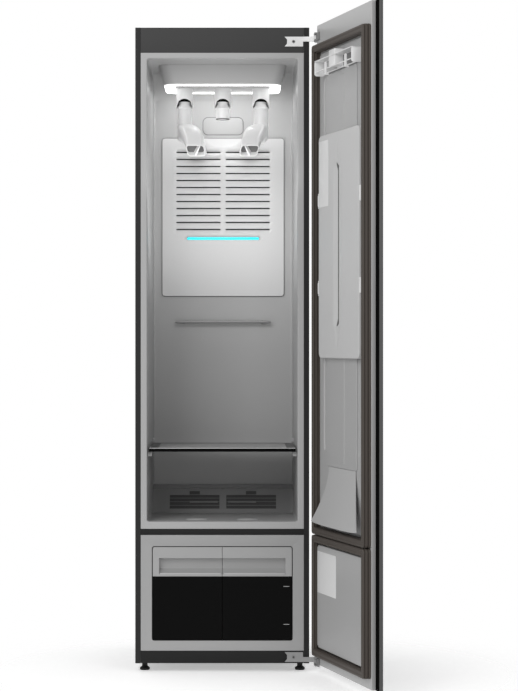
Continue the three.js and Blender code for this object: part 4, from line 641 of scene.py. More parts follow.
@cache
def gauze() -> bpy.types.NodeTree:
    """Makes a fine square mesh: the higher of two crossing waves, dark where both are low.

    Returns:
        The node group.
    """
    graph, given, sink = new_group(
        "Gauze",
        {"Vector": None, "Color": (0.2, 0.2, 0.2, 1.0), "Openings": (0.02, 0.02, 0.02, 1.0), "Mesh scale": 220.0},
        ("Color", "Height"))
    mesh = {"Vector": given["Vector"], "Scale": given["Mesh scale"]}
    waves = [graph.add("TexWave", mesh, bands_direction=way).outputs["Fac"] for way in ("X", "Z")]
    highest = graph.math("MAXIMUM", *waves)
    mix = graph.add("Mix", {"Factor": highest, 6: given["Openings"], 7: given["Color"]}, data_type="RGBA")
    graph.fill(sink, {"Color": mix.outputs[2], "Height": highest})
    return graph.tree


class Grain(Enum):
    """The kinds of surface that the finishes have."""

    PAINTED = "painted sheet"
    MOULDED = "moulded plastic"
    BRUSHED = "brushed metal"
    RUBBER = "soft rubber"
    GAUZE = "filter gauze"


@dataclass(frozen=True)
class Finish:
    """One finish: its colour, its gloss and its fine texture."""

    name: str
    slot: str
    color: float | Point
    roughness: float
    grain: Grain = Grain.MOULDED
    metallic: float = 0.0
    coat: float = 0.0
    coat_roughness: float = 0.06
    drift: float = 0.05
    scale: float = 900.0
    bump: float = 0.04
    bump_depth: float = 0.0004
    glow: float = 0.0
    specular: float = 0.5

    def material(self) -> bpy.types.Material:
        """Gives the finish's material, made on its first use, with its texture on Object coordinates.

        Returns:
            The material.
        """
        known = bpy.data.materials.get(self.name)
        if known:
            return known
        material = bpy.data.materials.new(self.name)
        material.use_nodes = True
        graph, shader = Graph(material.node_tree), material.node_tree.nodes["Principled BSDF"]
        color = linear(self.color)
        texture, values = {
            Grain.BRUSHED: (brush, {"Roughness": self.roughness}),
            Grain.GAUZE: (gauze, {"Mesh scale": self.scale}),
        }.get(self.grain, (speckle, {"Drift": self.drift, "Grain scale": self.scale, "Roughness": self.roughness}))
        place = graph.add("TexCoord", {}).outputs["Object"]
        skin = graph.add("Group", {"Vector": place, "Color": color, **values}, node_tree=texture()).outputs
        bump = graph.add("Bump", {"Strength": self.bump, "Distance": self.bump_depth, "Height": skin["Height"]})
        graph.fill(shader, {
            "Base Color": skin["Color"],
            "Roughness": self.roughness if self.grain is Grain.GAUZE else skin["Roughness"],
            "Normal": bump.outputs["Normal"],
            "Metallic": self.metallic,
            "Coat Weight": self.coat,
            "Coat Roughness": self.coat_roughness,
            "Specular IOR Level": self.specular,
        })
        if self.glow:
            graph.fill(shader, {"Emission Color": color, "Emission Strength": self.glow})
        return material


class Finishes:
    """The finishes of the cabinet's pieces."""

    CASING = Finish("Graphite paint", "casing", 0.235, 0.45, Grain.PAINTED, drift=0.06, scale=1500, bump=0.05,
                    specular=0.2)
    DOOR_PAINT = Finish("Door slab paint", "casing", 0.30, 0.4, Grain.PAINTED, drift=0.06, scale=1500, bump=0.05,
                        specular=0.3)
    # The side sheets wear the graphite paint made darker: painted shade on the sides and their front flanges.
    CASING_SIDE_SHADED = Finish("Graphite paint with painted side shade", "casing", 0.175, 0.5, Grain.PAINTED, drift=0.06, scale=1500, bump=0.05,
                   specular=0.12)
    RAIL_PAINT = Finish("Dark rail paint", "dark_rail", 0.13, 0.5, Grain.PAINTED, scale=1500, specular=0.15)
    ZINC = Finish("Zinc sheet", "zinc_sheet", 0.62, 0.42, Grain.BRUSHED, 0.85)
    # The two hinge plates are one steel: the upper copy is lighter for painted light, the lower copy darker for
    # painted shade.
    HINGE_TOP_LIT = Finish("Upper hinge steel with painted light", "hinge_steel", 0.86, 0.5, Grain.BRUSHED, 0.3)
    HINGE_LOW_SHADED = Finish("Lower hinge steel with painted shade", "hinge_steel", 0.58, 0.5, Grain.BRUSHED, 0.4)
    BRACKET = Finish("Bracket steel", "hinge_steel", 0.55, 0.45, Grain.BRUSHED, 0.5)
    SCREW = Finish("Screw steel", "hinge_steel", 0.5, 0.4, Grain.BRUSHED, 0.6)
    RAIL = Finish("Rail steel", "rail_steel", 0.55, 0.4, Grain.BRUSHED, 0.5)
    LINER = Finish("Liner plastic", "liner", 0.68, 0.38, bump=0.05, drift=0.04, specular=0.35)
    AIR_PANEL = Finish("Air panel plastic", "liner", 0.80, 0.36, bump=0.05, drift=0.03)
    DOOR_LINER = Finish("Door liner plastic", "liner", 0.68, 0.36, bump=0.05, drift=0.04)
    GROOVE = Finish("Groove shade", "liner", 0.42, 0.6, bump=0.05, specular=0.1)
    PRESS = Finish("Press plate plastic", "white_plastic", 0.78, 0.4, drift=0.03, bump=0.02, specular=0.3)
    GUIDE = Finish("Trouser guide plastic", "white_plastic", 0.72, 0.4, drift=0.03, bump=0.02)
    WHITE = Finish("White plastic", "white_plastic", 0.93, 0.28, coat=0.2, drift=0.02, bump=0.02)
    # Mid grey: painted shade inside the hanger mouths and the clip bar's far recess; it also colours the nozzle's
    # band.
    MID_GREY_AND_HOLLOW_SHADE = Finish("Mid grey and painted hollow shade", "white_plastic", 0.42, 0.5, bump=0.05)
    MARK = Finish("Printed marks", "white_plastic", 0.80, 0.5, Grain.PAINTED)
    LABEL = Finish("Blank label", "white_plastic", 0.88, 0.45, Grain.PAINTED, drift=0.01)
    PANEL = Finish("Lower panel plastic", "panel_grey", 0.63, 0.40, drift=0.04)
    GRIP = Finish("Tank grip plastic", "panel_grey", 0.64, 0.42, drift=0.04)
    SILL = Finish("Grip sill plastic", "panel_grey", 0.70, 0.5, drift=0.04)
    HOUSING = Finish("Ceiling housing plastic", "panel_grey", 0.71, 0.35)
    RING = Finish("Light ring diffuser", "ring_light", 0.98, 0.3, glow=3.0)
    CYAN = Finish("Cyan light diffuser", "cyan_light", (0.05, 0.85, 0.92), 0.3, glow=1.0)
    SMOKE = Finish("Smoked plastic", "smoke", 0.56, 0.2, coat=0.5, drift=0.08, bump=0.02)
    FILTER = Finish("Filter plastic", "smoke", 0.52, 0.3, drift=0.06, bump=0.02)
    # Dark filter gauze: a mesh behind the slots, made this dark to paint the shade in the slots.
    GAUZE = Finish("Filter gauze with painted slot shade", "smoke", 0.09, 0.7, Grain.GAUZE, scale=260, bump=0.4, specular=0.1)
    CLOTH = Finish("Filter cloth", "smoke", 0.40, 0.7, Grain.GAUZE, scale=260, bump=0.4, specular=0.1)
    GLASS_BLACK = Finish("Tank black", "tank_black", 0.035, 0.12, drift=0.04, bump=0.01, specular=0.05)
    RUBBER = Finish("Gasket rubber", "gasket_rubber", (0.285, 0.262, 0.243), 0.55, Grain.RUBBER, drift=0.12, bump=0.12,
                    specular=0.25)
    SEAL = Finish("Seal rubber", "gasket_rubber", 0.03, 0.6, Grain.RUBBER, bump=0.08, specular=0.05)
    BLACK = Finish("Black plastic", "black_plastic", 0.09, 0.5, bump=0.1, specular=0.2)
    # Near black: the shelf's own black front edge, and painted shade in the door's grip recess and in the gap round
    # the tank bay.
    BLACK_EDGE_AND_GAP_SHADE = Finish("Black edge and painted gap shade", "black_plastic", 0.06, 0.9, Grain.RUBBER, bump=0.05, specular=0.0)
    # Dark grey strips that stand for shadow: painted shade round the air panel's edge and in the press channel's
    # corner.
    PAINTED_SHADOW = Finish("Shadow seam", "black_plastic", 0.42, 0.7, bump=0.05, specular=0.0)
    SHELF = Finish("Shelf frame plastic", "black_plastic", 0.40, 0.45, bump=0.1, specular=0.2)
    FOAM = Finish("Foam", "foam", (0.88, 0.86, 0.78), 0.95, Grain.RUBBER, drift=0.15, scale=300, bump=0.5)
    COMPRESSOR = Finish("Compressor paint", "compressor_can", 0.09, 0.35, Grain.PAINTED, coat=0.3)
    FINS = Finish("Fin aluminium", "exchanger_fins", 0.8, 0.35, Grain.BRUSHED, 0.9)
    BOILER = Finish("Boiler steel", "boiler_steel", 0.75, 0.3, Grain.BRUSHED, 0.95)


# ---------------------------------------------------------------- pieces


@dataclass
class Maker:
    """Turns surfaces into dressed pieces that ride on their bodies."""

    datum: Datum
    nodes: dict[str, bpy.types.Object]
    made: int = 0

    def piece(
        self, name: str, surface: Surface, finish: Finish, body: str = "cabinet", replaces: Sequence[str] = (),
        on_door: bool = False, crease: float = 32.0, bevel: float = 0.0, closed: bool = True,
    ) -> bpy.types.Object:
        """Makes one piece from a surface.

        Args:
            name: the piece's name.
            surface: its points, in millimetres, and faces.
            finish: its finish.
            body: the body that it rides on.
            replaces: the CAD nodes that it stands for.
            on_door: its points are (s, n, z) on the door.
            crease: edges sharper than this many degrees stay sharp.
            bevel: the width of a bevel on its sharp edges, in millimetres.
            closed: its faces are turned outwards as one closed form.

        Returns:
            The finished object.
        """
        place = self.datum.door if on_door else self.datum.cabinet
        mesh = bpy.data.meshes.new(name)
        mesh.from_pydata(place(surface.points).tolist(), [], surface.faces)
        work = bmesh.new()
        work.from_mesh(mesh)
        bmesh.ops.remove_doubles(work, verts=work.verts, dist=2e-6)
        bmesh.ops.dissolve_degenerate(work, edges=work.edges, dist=1e-7)
        if closed:
            bmesh.ops.recalc_face_normals(work, faces=work.faces)
        work.to_mesh(mesh)
        work.free()
        return self._finish(name, mesh, finish, body, replaces, crease, bevel)

    def refined(self, node: str, finish: Finish, bevel: float, body: str = "cabinet") -> None:
        """Makes a piece from a CAD node: its doubles merged, its flat faces joined and its edges bevelled.

        Args:
            node: the CAD node that the piece stands for.
            finish: its finish.
            bevel: the width of the bevel in millimetres.
            body: the body that it rides on.
        """
        mesh = bpy.data.meshes.new(f"{node}_skin")
        work = bmesh.new()
        work.from_mesh(self.nodes[node].data)
        bmesh.ops.remove_doubles(work, verts=work.verts, dist=1e-5)
        bmesh.ops.dissolve_limit(
            work, angle_limit=math.radians(1.0), verts=work.verts, edges=work.edges, use_dissolve_boundaries=False)
        work.to_mesh(mesh)
        work.free()
        self._finish(f"{node}_skin", mesh, finish, body, (node,), 32.0, bevel)

    def _finish(
        self, name: str, mesh: bpy.types.Mesh, finish: Finish, body: str, replaces: Sequence[str], crease: float,
        bevel: float,
    ) -> bpy.types.Object:
        """Links, shades and dresses a piece, and hides the CAD nodes that it stands for.

        Args:
            name: the piece's name.
            mesh: its mesh, in metres.
            finish: its finish.
            body: the body that it rides on.
            replaces: the CAD nodes that it stands for.
            crease: edges sharper than this many degrees stay sharp.
            bevel: the width of its bevel, in millimetres.

        Returns:
            The finished object.
        """
        mesh.materials.clear()
        mesh.materials.append(finish.material())
        mesh.shade_smooth()
        mesh.set_sharp_from_angle(angle=math.radians(crease))
        piece = bpy.data.objects.new(name, mesh)
        bpy.context.scene.collection.objects.link(piece)
        if bevel:
            rim = piece.modifiers.new("Edge", "BEVEL")
            rim.width = bevel * METRES
            rim.segments = 2
            rim.limit_method = "ANGLE"
            rim.angle_limit = math.radians(crease)
            rim.harden_normals = True
            rim.use_clamp_overlap = True
        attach(piece, body)
        if replaces:
            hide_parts(*replaces)
        self.made += 1
        log.info("%s rides on %s", name, body)
        return piece

    def dress(self, node: str, finish: Finish) -> None:
        """Gives a CAD node that stays visible its finish.

        Args:
            node: the CAD node's name.
            finish: its finish.
        """
        data = self.nodes[node].data
        data.materials.clear()
        data.materials.append(finish.material())


@dataclass
class Casing:
    """The folded steel body: sides, top, fascia, rails, back, base and feet."""

    half: float = 250.0
    height: float = 1850.0
    depth: float = 560.0
    sheet: float = 1.2
    bend: float = 2.2
    front_return: float = 15.5
    rear_return: float = 14.0
    rear_gap: float = 0.3
    clearance: float = 24.0
    top_gap: float = 0.6
    top_return: float = 14.0
    top_run: Span = (1.5, 556.7)
    rail_half: float = 234.2
    rail_return: float = 18.0
    fascia: Span = (1778.0, 1848.5)
    divider: Span = (393.3, 409.7)
    plinth: Span = (24.0, 59.7)
    foot_x: float = 224.0
    foot_front: float = 42.0
    foot_rear: float = 515.0
    foot_profile: tuple[Span, ...] = (
        (0, 0), (12.4, 0), (14.1, 1), (14.6, 2.6), (14.6, 6), (13.8, 7.6), (11.8, 8.8), (8.4, 11.4), (7.9, 13),
        (7.9, 23.2), (7.4, 23.7), (5, 23.7), (5, 41), (4.3, 41.7), (0, 41.7))
    scallops: int = 18
    scallop_depth: float = 0.035
    scallop_reach: Span = (11.0, 14.0)
    scallop_top: float = 9.0

    def side(self, hand: int) -> Surface:
        """Folds one side panel: a flange at the front and one at the rear.

        Args:
            hand: -1 for the left panel and 1 for the right one.

        Returns:
            The closed surface.
        """
        t = self.sheet / 2
        edge, rear = self.half - t, self.depth - self.sheet - self.rear_gap - t
        line = [(self.half - self.front_return, t), (edge, t), (edge, rear), (self.half - self.rear_return, rear)]
        run = (self.clearance, self.height)
        return folded_sheet([(hand * x, y) for x, y in line], self.sheet, self.bend, run, FLAT)

    def top(self) -> Surface:
        """Folds the top panel, with both edges turned down.

        Returns:
            The closed surface.
        """
        t = self.sheet / 2
        edge, low = self.half - self.sheet - self.top_gap - t, self.height - self.top_return
        line = [(-edge, low), (-edge, self.height - t), (edge, self.height - t), (edge, low)]
        return folded_sheet(line, self.sheet, self.bend, self.top_run, UPRIGHT)

    def rail(self, span: Span) -> Surface:
        """Folds a front rail over a span of heights, with both long edges turned back.

        Args:
            span: its lower and its upper edge.

        Returns:
            The closed surface.
        """
        t, deep = self.sheet / 2, self.rail_return
        line = [(deep, span[0] + t), (t, span[0] + t), (t, span[1] - t), (deep, span[1] - t)]
        return folded_sheet(line, self.sheet, self.bend, (-self.rail_half, self.rail_half), ACROSS)

    def foot(self, x: float, y: float) -> Surface:
        """Turns a levelling foot: a disc with rounded edges and a scalloped rim, a cone, a neck and a stem.

        Args:
            x: the place of its axis.
            y: the place of its axis.

        Returns:
            The closed surface.
        """
        foot = turned(self.foot_profile, x, y, count=72)
        p = foot.points - np.array([x, y, 0.0])
        rim = ramp(np.hypot(p[:, 0], p[:, 1]), self.scallop_reach) * (p[:, 2] < self.scallop_top)
        wave = 0.5 + 0.5 * np.cos(np.arctan2(p[:, 1], p[:, 0]) * self.scallops)
        p[:, :2] *= (1.0 - self.scallop_depth * rim * wave)[:, None]
        return Surface(p, foot.faces).moved(x, y)

    def build(self, maker: Maker) -> None:
        """Makes the casing's pieces.

        Args:
            maker: where the pieces go.
        """
        f = Finishes
        for name, surface, finish, node in (
            # Both side sheets take the darker copy of the graphite paint: painted side shade.
            ("left_side_sheet", self.side(-1), f.CASING_SIDE_SHADED, "left_side_panel"),
            ("right_side_sheet", self.side(1), f.CASING_SIDE_SHADED, "right_side_panel"),
            ("top_sheet", self.top(), f.CASING, "top_panel"),
            ("fascia_sheet", self.rail(self.fascia), f.CASING, "top_fascia"),
            ("divider_sheet", self.rail(self.divider), f.RAIL_PAINT, "divider_rail"),
            ("plinth_sheet", self.rail(self.plinth), f.RAIL_PAINT, "plinth_rail"),
        ):
            maker.piece(name, surface, finish, replaces=(node,))
        maker.refined("rear_panel", f.ZINC, 0.3)
        maker.refined("base_tray", f.ZINC, 0.4)
        for row, y in (("front", self.foot_front), ("rear", self.foot_rear)):
            for side, hand in (("left", -1), ("right", 1)):
                foot = f"foot_{row}_{side}"
                turning = self.foot(hand * self.foot_x, y)
                maker.piece(f"{foot}_turned", turning, f.BLACK, foot, (f"levelling_{foot}",))


@dataclass
class Chamber:
    """The moulded chamber: its rim, walls, floor bumps and pegs."""

    half: float = 216.5
    floor: float = 431.0
    ceiling: float = 1761.6
    depth: float = 430.0
    draft: float = 3.0
    wall: float = 2.5
    flat: float = 345.0
    drop: float = 71.6
    fall_power: float = 1.9
    corner: float = 7.0
    least_corner: float = 2.5
    mouth: float = 2.4
    back_fillet: float = 7.0
    rim_half: float = 234.2
    rim: Span = (410.3, 1777.7)
    rim_rows: tuple[Span, ...] = ((0.3, 0.0), (0.0, 0.5), (0.0, 3.0))
    bump_place: Span = (74.0, 78.0)
    bump_size: Point = (33.0, 20.0, 5.0)
    bump_root: float = 0.4
    pegs: tuple[tuple[float, float, Point], ...] = (
        (46.0, 630.3, (10.0, 12.0, 14.0)), (318.0, 630.3, (10.0, 12.0, 14.0)), (330.0, 656.0, (7.0, 8.0, 13.0)))
    peg_root: float = 216.0
    peg_base: float = 213.5
    peg_radii: Span = (3.0, 1.4)
    emboss: tuple[Block, ...] = (
        ((-61.0, 61.0), (1583.0, 1635.0), (428.2, 430.2), 15.0, 1.2),
        ((-57.0, 57.0), (1587.0, 1631.0), (427.9, 428.8), 12.0, 0.4))
    groove: tuple[Span, ...] = ((0.0, 430.2), (0.2, 428.9), (1.9, 428.9), (2.1, 430.2))
    groove_outline: tuple[Span, Span, float] = ((-62.6, 62.6), (1581.4, 1636.6), 16.0)

    def stations(self) -> tuple[Array, Array, Array]:
        """Works out where the sections stand.

        Returns:
            The y of each section, how far the ceiling has fallen there, and how far the section has drawn in for
            the fillet of the back wall, which follows a quarter circle.
        """
        straight = np.linspace(self.mouth, self.flat, 8)
        fall_y = np.linspace(self.flat, self.depth - self.back_fillet, 14)[1:]
        turn = quarter(7)[1:]
        y = np.concatenate([straight, fall_y, self.depth - self.back_fillet * (1.0 - np.sin(turn))])
        t = np.clip((y - self.flat) / (self.depth - self.flat), 0.0, 1.0)
        inset = np.concatenate([np.zeros(len(straight) + len(fall_y)), self.back_fillet * (1.0 - np.cos(turn))])
        return y, self.drop * t**self.fall_power, inset

    def loops(self, y: Array, fall: Array, inset: Array) -> Array:
        """Gives the chamber's section at each y: a rounded rectangle between the floor and the fallen ceiling.

        Args:
            y: the place of each section.
            fall: how far its ceiling has fallen.
            inset: how far it is drawn in.

        Returns:
            The sections, as (x, z, y).
        """
        wide = self.half - self.draft * y / self.depth - inset
        top, low = self.ceiling - fall - inset, self.floor + inset
        loops = rounded_loop(wide, (top - low) / 2, np.maximum(self.corner - inset, self.least_corner), count=9)
        return with_level(loops + np.stack([np.zeros_like(top), (top + low) / 2], axis=-1)[:, None], y)

    def shell(self) -> Surface:
        """Builds the liner as one closed skin.

        It runs from the back wall forward along the inside, round the mouth's edge, across the rim to its outer
        edge, and back along the outside.

        Returns:
            The closed surface.
        """
        y, fall, inset = self.stations()
        inner = self.loops(y, fall, inset)[::-1]
        turn = quarter(5)[1:]
        level = np.zeros(len(turn))
        lip = self.loops(level, level, -self.mouth * (1.0 - np.cos(turn)))
        lip[..., 2] = (self.mouth * (1.0 - np.sin(turn)))[:, None]
        draw, rim_y = np.array(self.rim_rows).T
        rim = rounded_loop(self.rim_half - draw, half(self.rim) - draw, 1.0, count=9) + [0.0, middle(self.rim)]
        outer = self.loops(np.concatenate([rim_y[-1:], y[1:]]), fall, inset - self.wall)
        back = outer[..., 2] + self.wall * ramp(outer[..., 2], (0.0, self.depth))
        outer[..., 2] = np.minimum(back, self.depth + self.wall - 0.1)
        rows = np.concatenate([inner, lip, with_level(rim, rim_y), outer])[..., list(UPRIGHT)]
        return Surface.grid(rows, wrap_columns=True, caps=True)

    def bump(self, hand: int) -> Surface:
        """Raises a shallow oval from the floor: its height falls off as the root of one less radius squared.

        Args:
            hand: -1 for the left one and 1 for the right one.

        Returns:
            The closed surface.
        """
        wide, deep, high = self.bump_size
        u = np.linspace(0.0, 1.0, 10)[:, None]
        angle = circle(40)[None, :]
        x = hand * self.bump_place[0] + wide * u * np.cos(angle)
        y = self.bump_place[1] + deep * u * np.sin(angle)
        z = self.floor - self.bump_root + high * dome(np.broadcast_to(u, x.shape))
        return Surface.grid(np.stack([x, y, z], axis=-1), wrap_columns=True, caps=True)

    def peg(self, hand: int, y: float, high: float, size: Point) -> Surface:
        """Builds a shelf peg or stop: a small rounded block with its root in the wall.

        Args:
            hand: -1 for the left wall and 1 for the right one.
            y: the place of its middle.
            high: the height of its top.
            size: how far it stands out, its length along the wall and its height.

        Returns:
            The closed surface.
        """
        width, deep, tall = size
        ends = sorted((hand * self.peg_root, hand * (self.peg_base - width)))
        return plate((y - deep / 2, y + deep / 2), (high - tall, high), tuple(ends), *self.peg_radii, ACROSS)

    def build(self, maker: Maker) -> None:
        """Makes the chamber's pieces.

        Args:
            maker: where the pieces go.
        """
        f = Finishes
        maker.piece("chamber_shell", self.shell(), f.LINER, replaces=("chamber_liner",), crease=40)
        parts = []
        for hand in (-1, 1):
            parts += [self.bump(hand)] + [self.peg(hand, *peg) for peg in self.pegs]
        maker.piece("chamber_fittings", Surface.joined(parts), f.LINER)
        maker.piece("back_wall_emboss", Surface.joined([plate(*block) for block in self.emboss]), f.LINER)
        maker.piece("back_wall_emboss_groove", frame_sweep(self.groove, *self.groove_outline), f.GROOVE, crease=60)
        maker.dress("foam_insulation", f.FOAM)


@dataclass
class Ceiling:
    """What hangs from the ceiling: housing, light ring, sockets, nozzle and the two air hangers."""

    bottom: float = 1703.6
    top: float = 1761.3
    soft: float = 5.0
    seat: float = 18.0
    corner: float = 34.0
    housing_half: Span = (172.0, 188.5)
    housing_front: Span = (150.0, 134.0)
    housing_rear: Span = (366.0, 372.0)
    ring_gap: float = 0.3
    ring_drop: float = 2.4
    ring_ends: float = 31.0
    ring_sides: float = 9.0
    ring_corner: float = 22.0
    ring_rows: tuple[Span, ...] = (
        (0.01, 0.0), (0.01, 0.6), (0.06, 0.9), (0.16, 1.0), (0.84, 1.0), (0.94, 0.9), (0.99, 0.6), (0.99, 0.0))
    pitch: float = 114.0
    y: float = 260.0
    socket_top: float = 1709.2
    socket_low: float = 1647.2
    sleeve_rows: tuple[Span, ...] = (
        (22.6, 0.82), (22.6, 0.4), (22.6, 0.02), (23.4, 0.0), (24.8, 0.0), (25.6, 0.02), (25.6, 0.3), (25.6, 0.6),
        (25.6, 0.93), (26.6, 0.965), (27.8, 0.985), (27.8, 1.0))
    sleeve_hub: float = 0.02
    arch_half: float = 20.0
    arch_foot: float = 9.8
    arch_rise: float = 14.8
    claw_half: float = 24.4
    crescent_margin: Point = (0.6, 0.2, 0.4)
    crescent_depth: Span = (3.0, 6.0)
    crescent_radii: Span = (22.5, 22.1)
    crescent_rows: tuple[float, ...] = (0.0, 0.12, 0.5, 0.88, 1.0)
    neck_rows: tuple[Span, ...] = (
        (20.4, -7.5), (22.4, -4.6), (23.0, -3.4), (22.4, -2.6), (16.8, 7.0), (16.0, 8.4), (16.0, 17.0), (21.4, 17.0),
        (22.0, 17.6), (22.0, 19.4), (21.2, 19.9), (21.2, 22.1), (22.0, 22.6), (22.0, 24.4), (21.4, 25.0), (0.0, 25.0))
    seal_radius: float = 21.3
    seal_height: float = 21.0
    seal_half: Span = (0.95, 1.0)
    nozzle_rows: tuple[Span, ...] = (
        (0.0, 1642.0), (13.2, 1642.0), (16.5, 1613.0), (17.4, 1612.2), (19.4, 1612.2), (20.3, 1613.4), (20.4, 1618.0),
        (20.0, 1634.0))
    band_rows: tuple[Span, ...] = ((16.2, 1612.3), (19.6, 1612.0), (20.2, 1612.6), (20.5, 1614.6), (19.9, 1615.0))
    root_rows: tuple[Span, ...] = (
        (0.0, 1572.0), (19.2, 1572.0), (20.0, 1586.0), (22.4, 1597.0), (21.4, 1602.0), (20.8, 1610.0), (20.4, 1622.0))
    arm: float = 150.0
    bow: float = 36.0
    crest: float = 1600.0
    front_fall: float = 78.0
    rear_fall: float = 50.0
    fall_power: float = 1.6
    root_height: float = 60.0
    mouth_height: float = 33.0
    mouth_width: float = 53.0
    lean: float = 7.0
    arm_corner: Span = (20.0, 9.0)
    mouth_rows: tuple[Span, ...] = ((0.0, 1.9), (0.01, 2.5), (0.05, 2.6), (0.1, 2.6), (0.15, 2.6))
    mouth_wall: float = 2.7
    lip: float = 1.2
    lip_from: float = 0.99
    arm_places: tuple[float, ...] = (*np.linspace(0.0, 0.9, 26).tolist(), 0.94, 0.97, 0.988, 0.997, 1.0)
    throat: Span = (18.0, 16.5)
    places: tuple[float, ...] = (0.0, 0.08, 0.25, 0.5, 0.76, 1.0)
    bow_shares: tuple[float, ...] = (0.03, 0.06, 0.39, 0.64, 0.86, 1.0)
    width_shares: tuple[float, ...] = (0.85, 0.87, 1.13, 1.17, 1.06, 1.0)
    divider_run: Span = (20.0, 1.2)
    divider_edge: float = 2.9
    divider_corner: Span = (13.8, 12.2)
    divider_foot: float = 3.4

    def housing(self) -> Surface:
        """Lofts the tapered housing between its two outlines, with a rounded lower edge.

        Returns:
            The closed surface.
        """
        turn = quarter(5)
        level = np.concatenate([self.bottom + self.soft * (1 - np.cos(turn)), [self.top - self.seat, self.top]])
        t = (level - self.bottom) / (self.top - self.bottom)
        draw = np.concatenate([self.soft * (1 - np.sin(turn)), [0.0, 0.0]])
        front, rear = between(self.housing_front, t) + draw, between(self.housing_rear, t) - draw
        loops = rounded_loop(between(self.housing_half, t) - draw, (rear - front) / 2, self.corner - draw, count=9)
        loops = loops + np.stack([np.zeros_like(front), (rear + front) / 2], axis=-1)[:, None]
        return Surface.grid(with_level(loops, level), wrap_columns=True, caps=True)

    def ring(self) -> Surface:
        """Carries a softly rounded strip round the housing's edge, wide at its two ends and narrow along its sides.

        Returns:
            The closed ring.
        """
        share, depth = np.array(self.ring_rows).T
        span = (self.housing_front[0], self.housing_rear[0])
        loops = rounded_loop(self.housing_half[0] - self.ring_ends * share, half(span) - self.ring_sides * share,
                             self.corner - self.ring_corner * share, count=9)
        grid = with_level(loops + np.array([0.0, middle(span)]), self.bottom - self.ring_gap - self.ring_drop * depth)
        return Surface.grid(grid, wrap_rows=True, wrap_columns=True)

    def socket(self, x: float) -> Surface:
        """Builds a socket: a sleeve whose lower edge rises into an arch at the front.

        The sleeve is a turned wall; its rows run from the lower edge up to the top. In front of the axis that edge
        is half an ellipse within the arch's width and falls straight to the sleeve's foot beside it.

        Args:
            x: the place of its axis.

        Returns:
            The closed surface.
        """
        angle = circle(120)
        across, ahead = np.cos(angle), -np.sin(angle)
        rows = []
        for radius, share in self.sleeve_rows:
            aside = np.abs(radius * across)
            reach = 1.0 - (aside / self.arch_half) ** 2
            arch = self.socket_low + self.arch_foot + self.arch_rise * np.sqrt(np.maximum(reach, 0.0))
            claw = np.clip((self.claw_half - aside) / (self.claw_half - self.arch_half), 0.0, 1.0)
            edge = np.where(reach > 0, arch, self.socket_low + self.arch_foot * claw)
            low = np.where(ahead > 0, edge, self.socket_low)
            rows.append(np.stack([radius * across, -radius * ahead, low + (self.socket_top - low) * share], axis=-1))
        inside, outside = (row * [self.sleeve_hub, self.sleeve_hub, 1.0] for row in (rows[0], rows[-1]))
        inside[:, 2] = inside[:, 2].max()
        return Surface.grid(np.stack([inside] + rows + [outside]), wrap_columns=True, caps=True).moved(x, self.y)

    def neck(self, lowest: Sequence[Span]) -> Array:
        """Gives the profile of a neck on top of what comes below it: a shoulder, a waist and a ring."""
        return np.array(list(lowest) + [(r, self.socket_low + rise) for r, rise in self.neck_rows])

    def ring_seal(self, x: float) -> Surface:
        """Winds a round rubber ring into the groove of a neck.

        Args:
            x: the place of the neck's axis.

        Returns:
            The closed ring.
        """
        turn = circle(12)
        r = self.seal_radius + self.seal_half[0] * np.cos(turn)
        z = self.socket_low + self.seal_height + self.seal_half[1] * np.sin(turn)
        return turned(np.stack([r, z], axis=-1), x, self.y, ring=True)

    def arch_seal_and_shadow(self, x: float) -> Surface:
        """Lines a socket's arch with a crescent of rubber.

        Its upper edge follows the arch's ellipse. Its depth falls from the middle to the ends as the cosine, from
        nine millimetres to three. The crescent lies on the bore, between two radii.

        Args:
            x: the place of the socket's axis.

        Returns:
            The closed surface.
        """
        # A black rubber trim along the arch; its thin legs also paint the shadow of the gaps between the sleeve and
        # the neck.
        wider, higher, taller = self.crescent_margin
        reach = self.arch_half + wider
        across = reach * np.sin(np.linspace(-1.0, 1.0, 61) * math.pi / 2)
        arch = self.socket_low + self.arch_foot + higher + (self.arch_rise + taller) * dome(across / reach)
        depth = self.crescent_depth[0] + self.crescent_depth[1] * np.cos(across / reach * math.pi / 2)
        z = arch - depth * np.array(self.crescent_rows)[:, None]
        outer, inner = (
            np.stack(np.broadcast_arrays(x + across, self.y - np.sqrt(radius**2 - across**2), z), axis=-1)
            for radius in self.crescent_radii)
        return Surface.grid(np.concatenate([outer, inner[::-1]]), wrap_rows=True)

    def crest_line(self, share: Array) -> Array:
        """Gives the height of a hanger's crest: the front arm falls further than the rear one."""
        return self.crest - np.where(share < 0, self.front_fall, self.rear_fall) * np.abs(share) ** self.fall_power

    def section(self, share: Array, side: int, inset: Array | float = 0.0) -> Array:
        """Works out the sections of the two arms of a hanger.

        Along an arm by t from 0 to 1, the crest falls as t to the power 1.6 and the height shrinks with the root
        of t. The bow and the width run smoothly through their shares, and the foot of each section leans out
        with t.

        Args:
            share: places along the arms, from -1 at the front mouth to 1 at the rear one.
            side: -1 for the left hanger and 1 for the right one, which bow towards each other.
            inset: how far the section is drawn in.

        Returns:
            The loops, about the hanger's own axis.
        """
        t = np.abs(share)
        inset = np.broadcast_to(inset, t.shape)
        height = self.root_height + (self.mouth_height - self.root_height) * np.sqrt(t)
        wide = self.mouth_width * through(t, self.places, self.width_shares) / 2 - inset
        corner = np.minimum(between(self.arm_corner, t), height / 2 - 0.5) - inset
        loops = rounded_loop(wide, height / 2 - inset, np.maximum(corner, 2.0), count=12)
        shift = -side * self.bow * through(t, self.places, self.bow_shares)
        loops[..., 0] += shift[:, None] + side * self.lean * t[:, None] * loops[..., 1] / self.mouth_height
        loops[..., 1] += (self.crest_line(share) - height / 2)[:, None]
        return with_level(loops, share * self.arm)[..., list(UPRIGHT)]

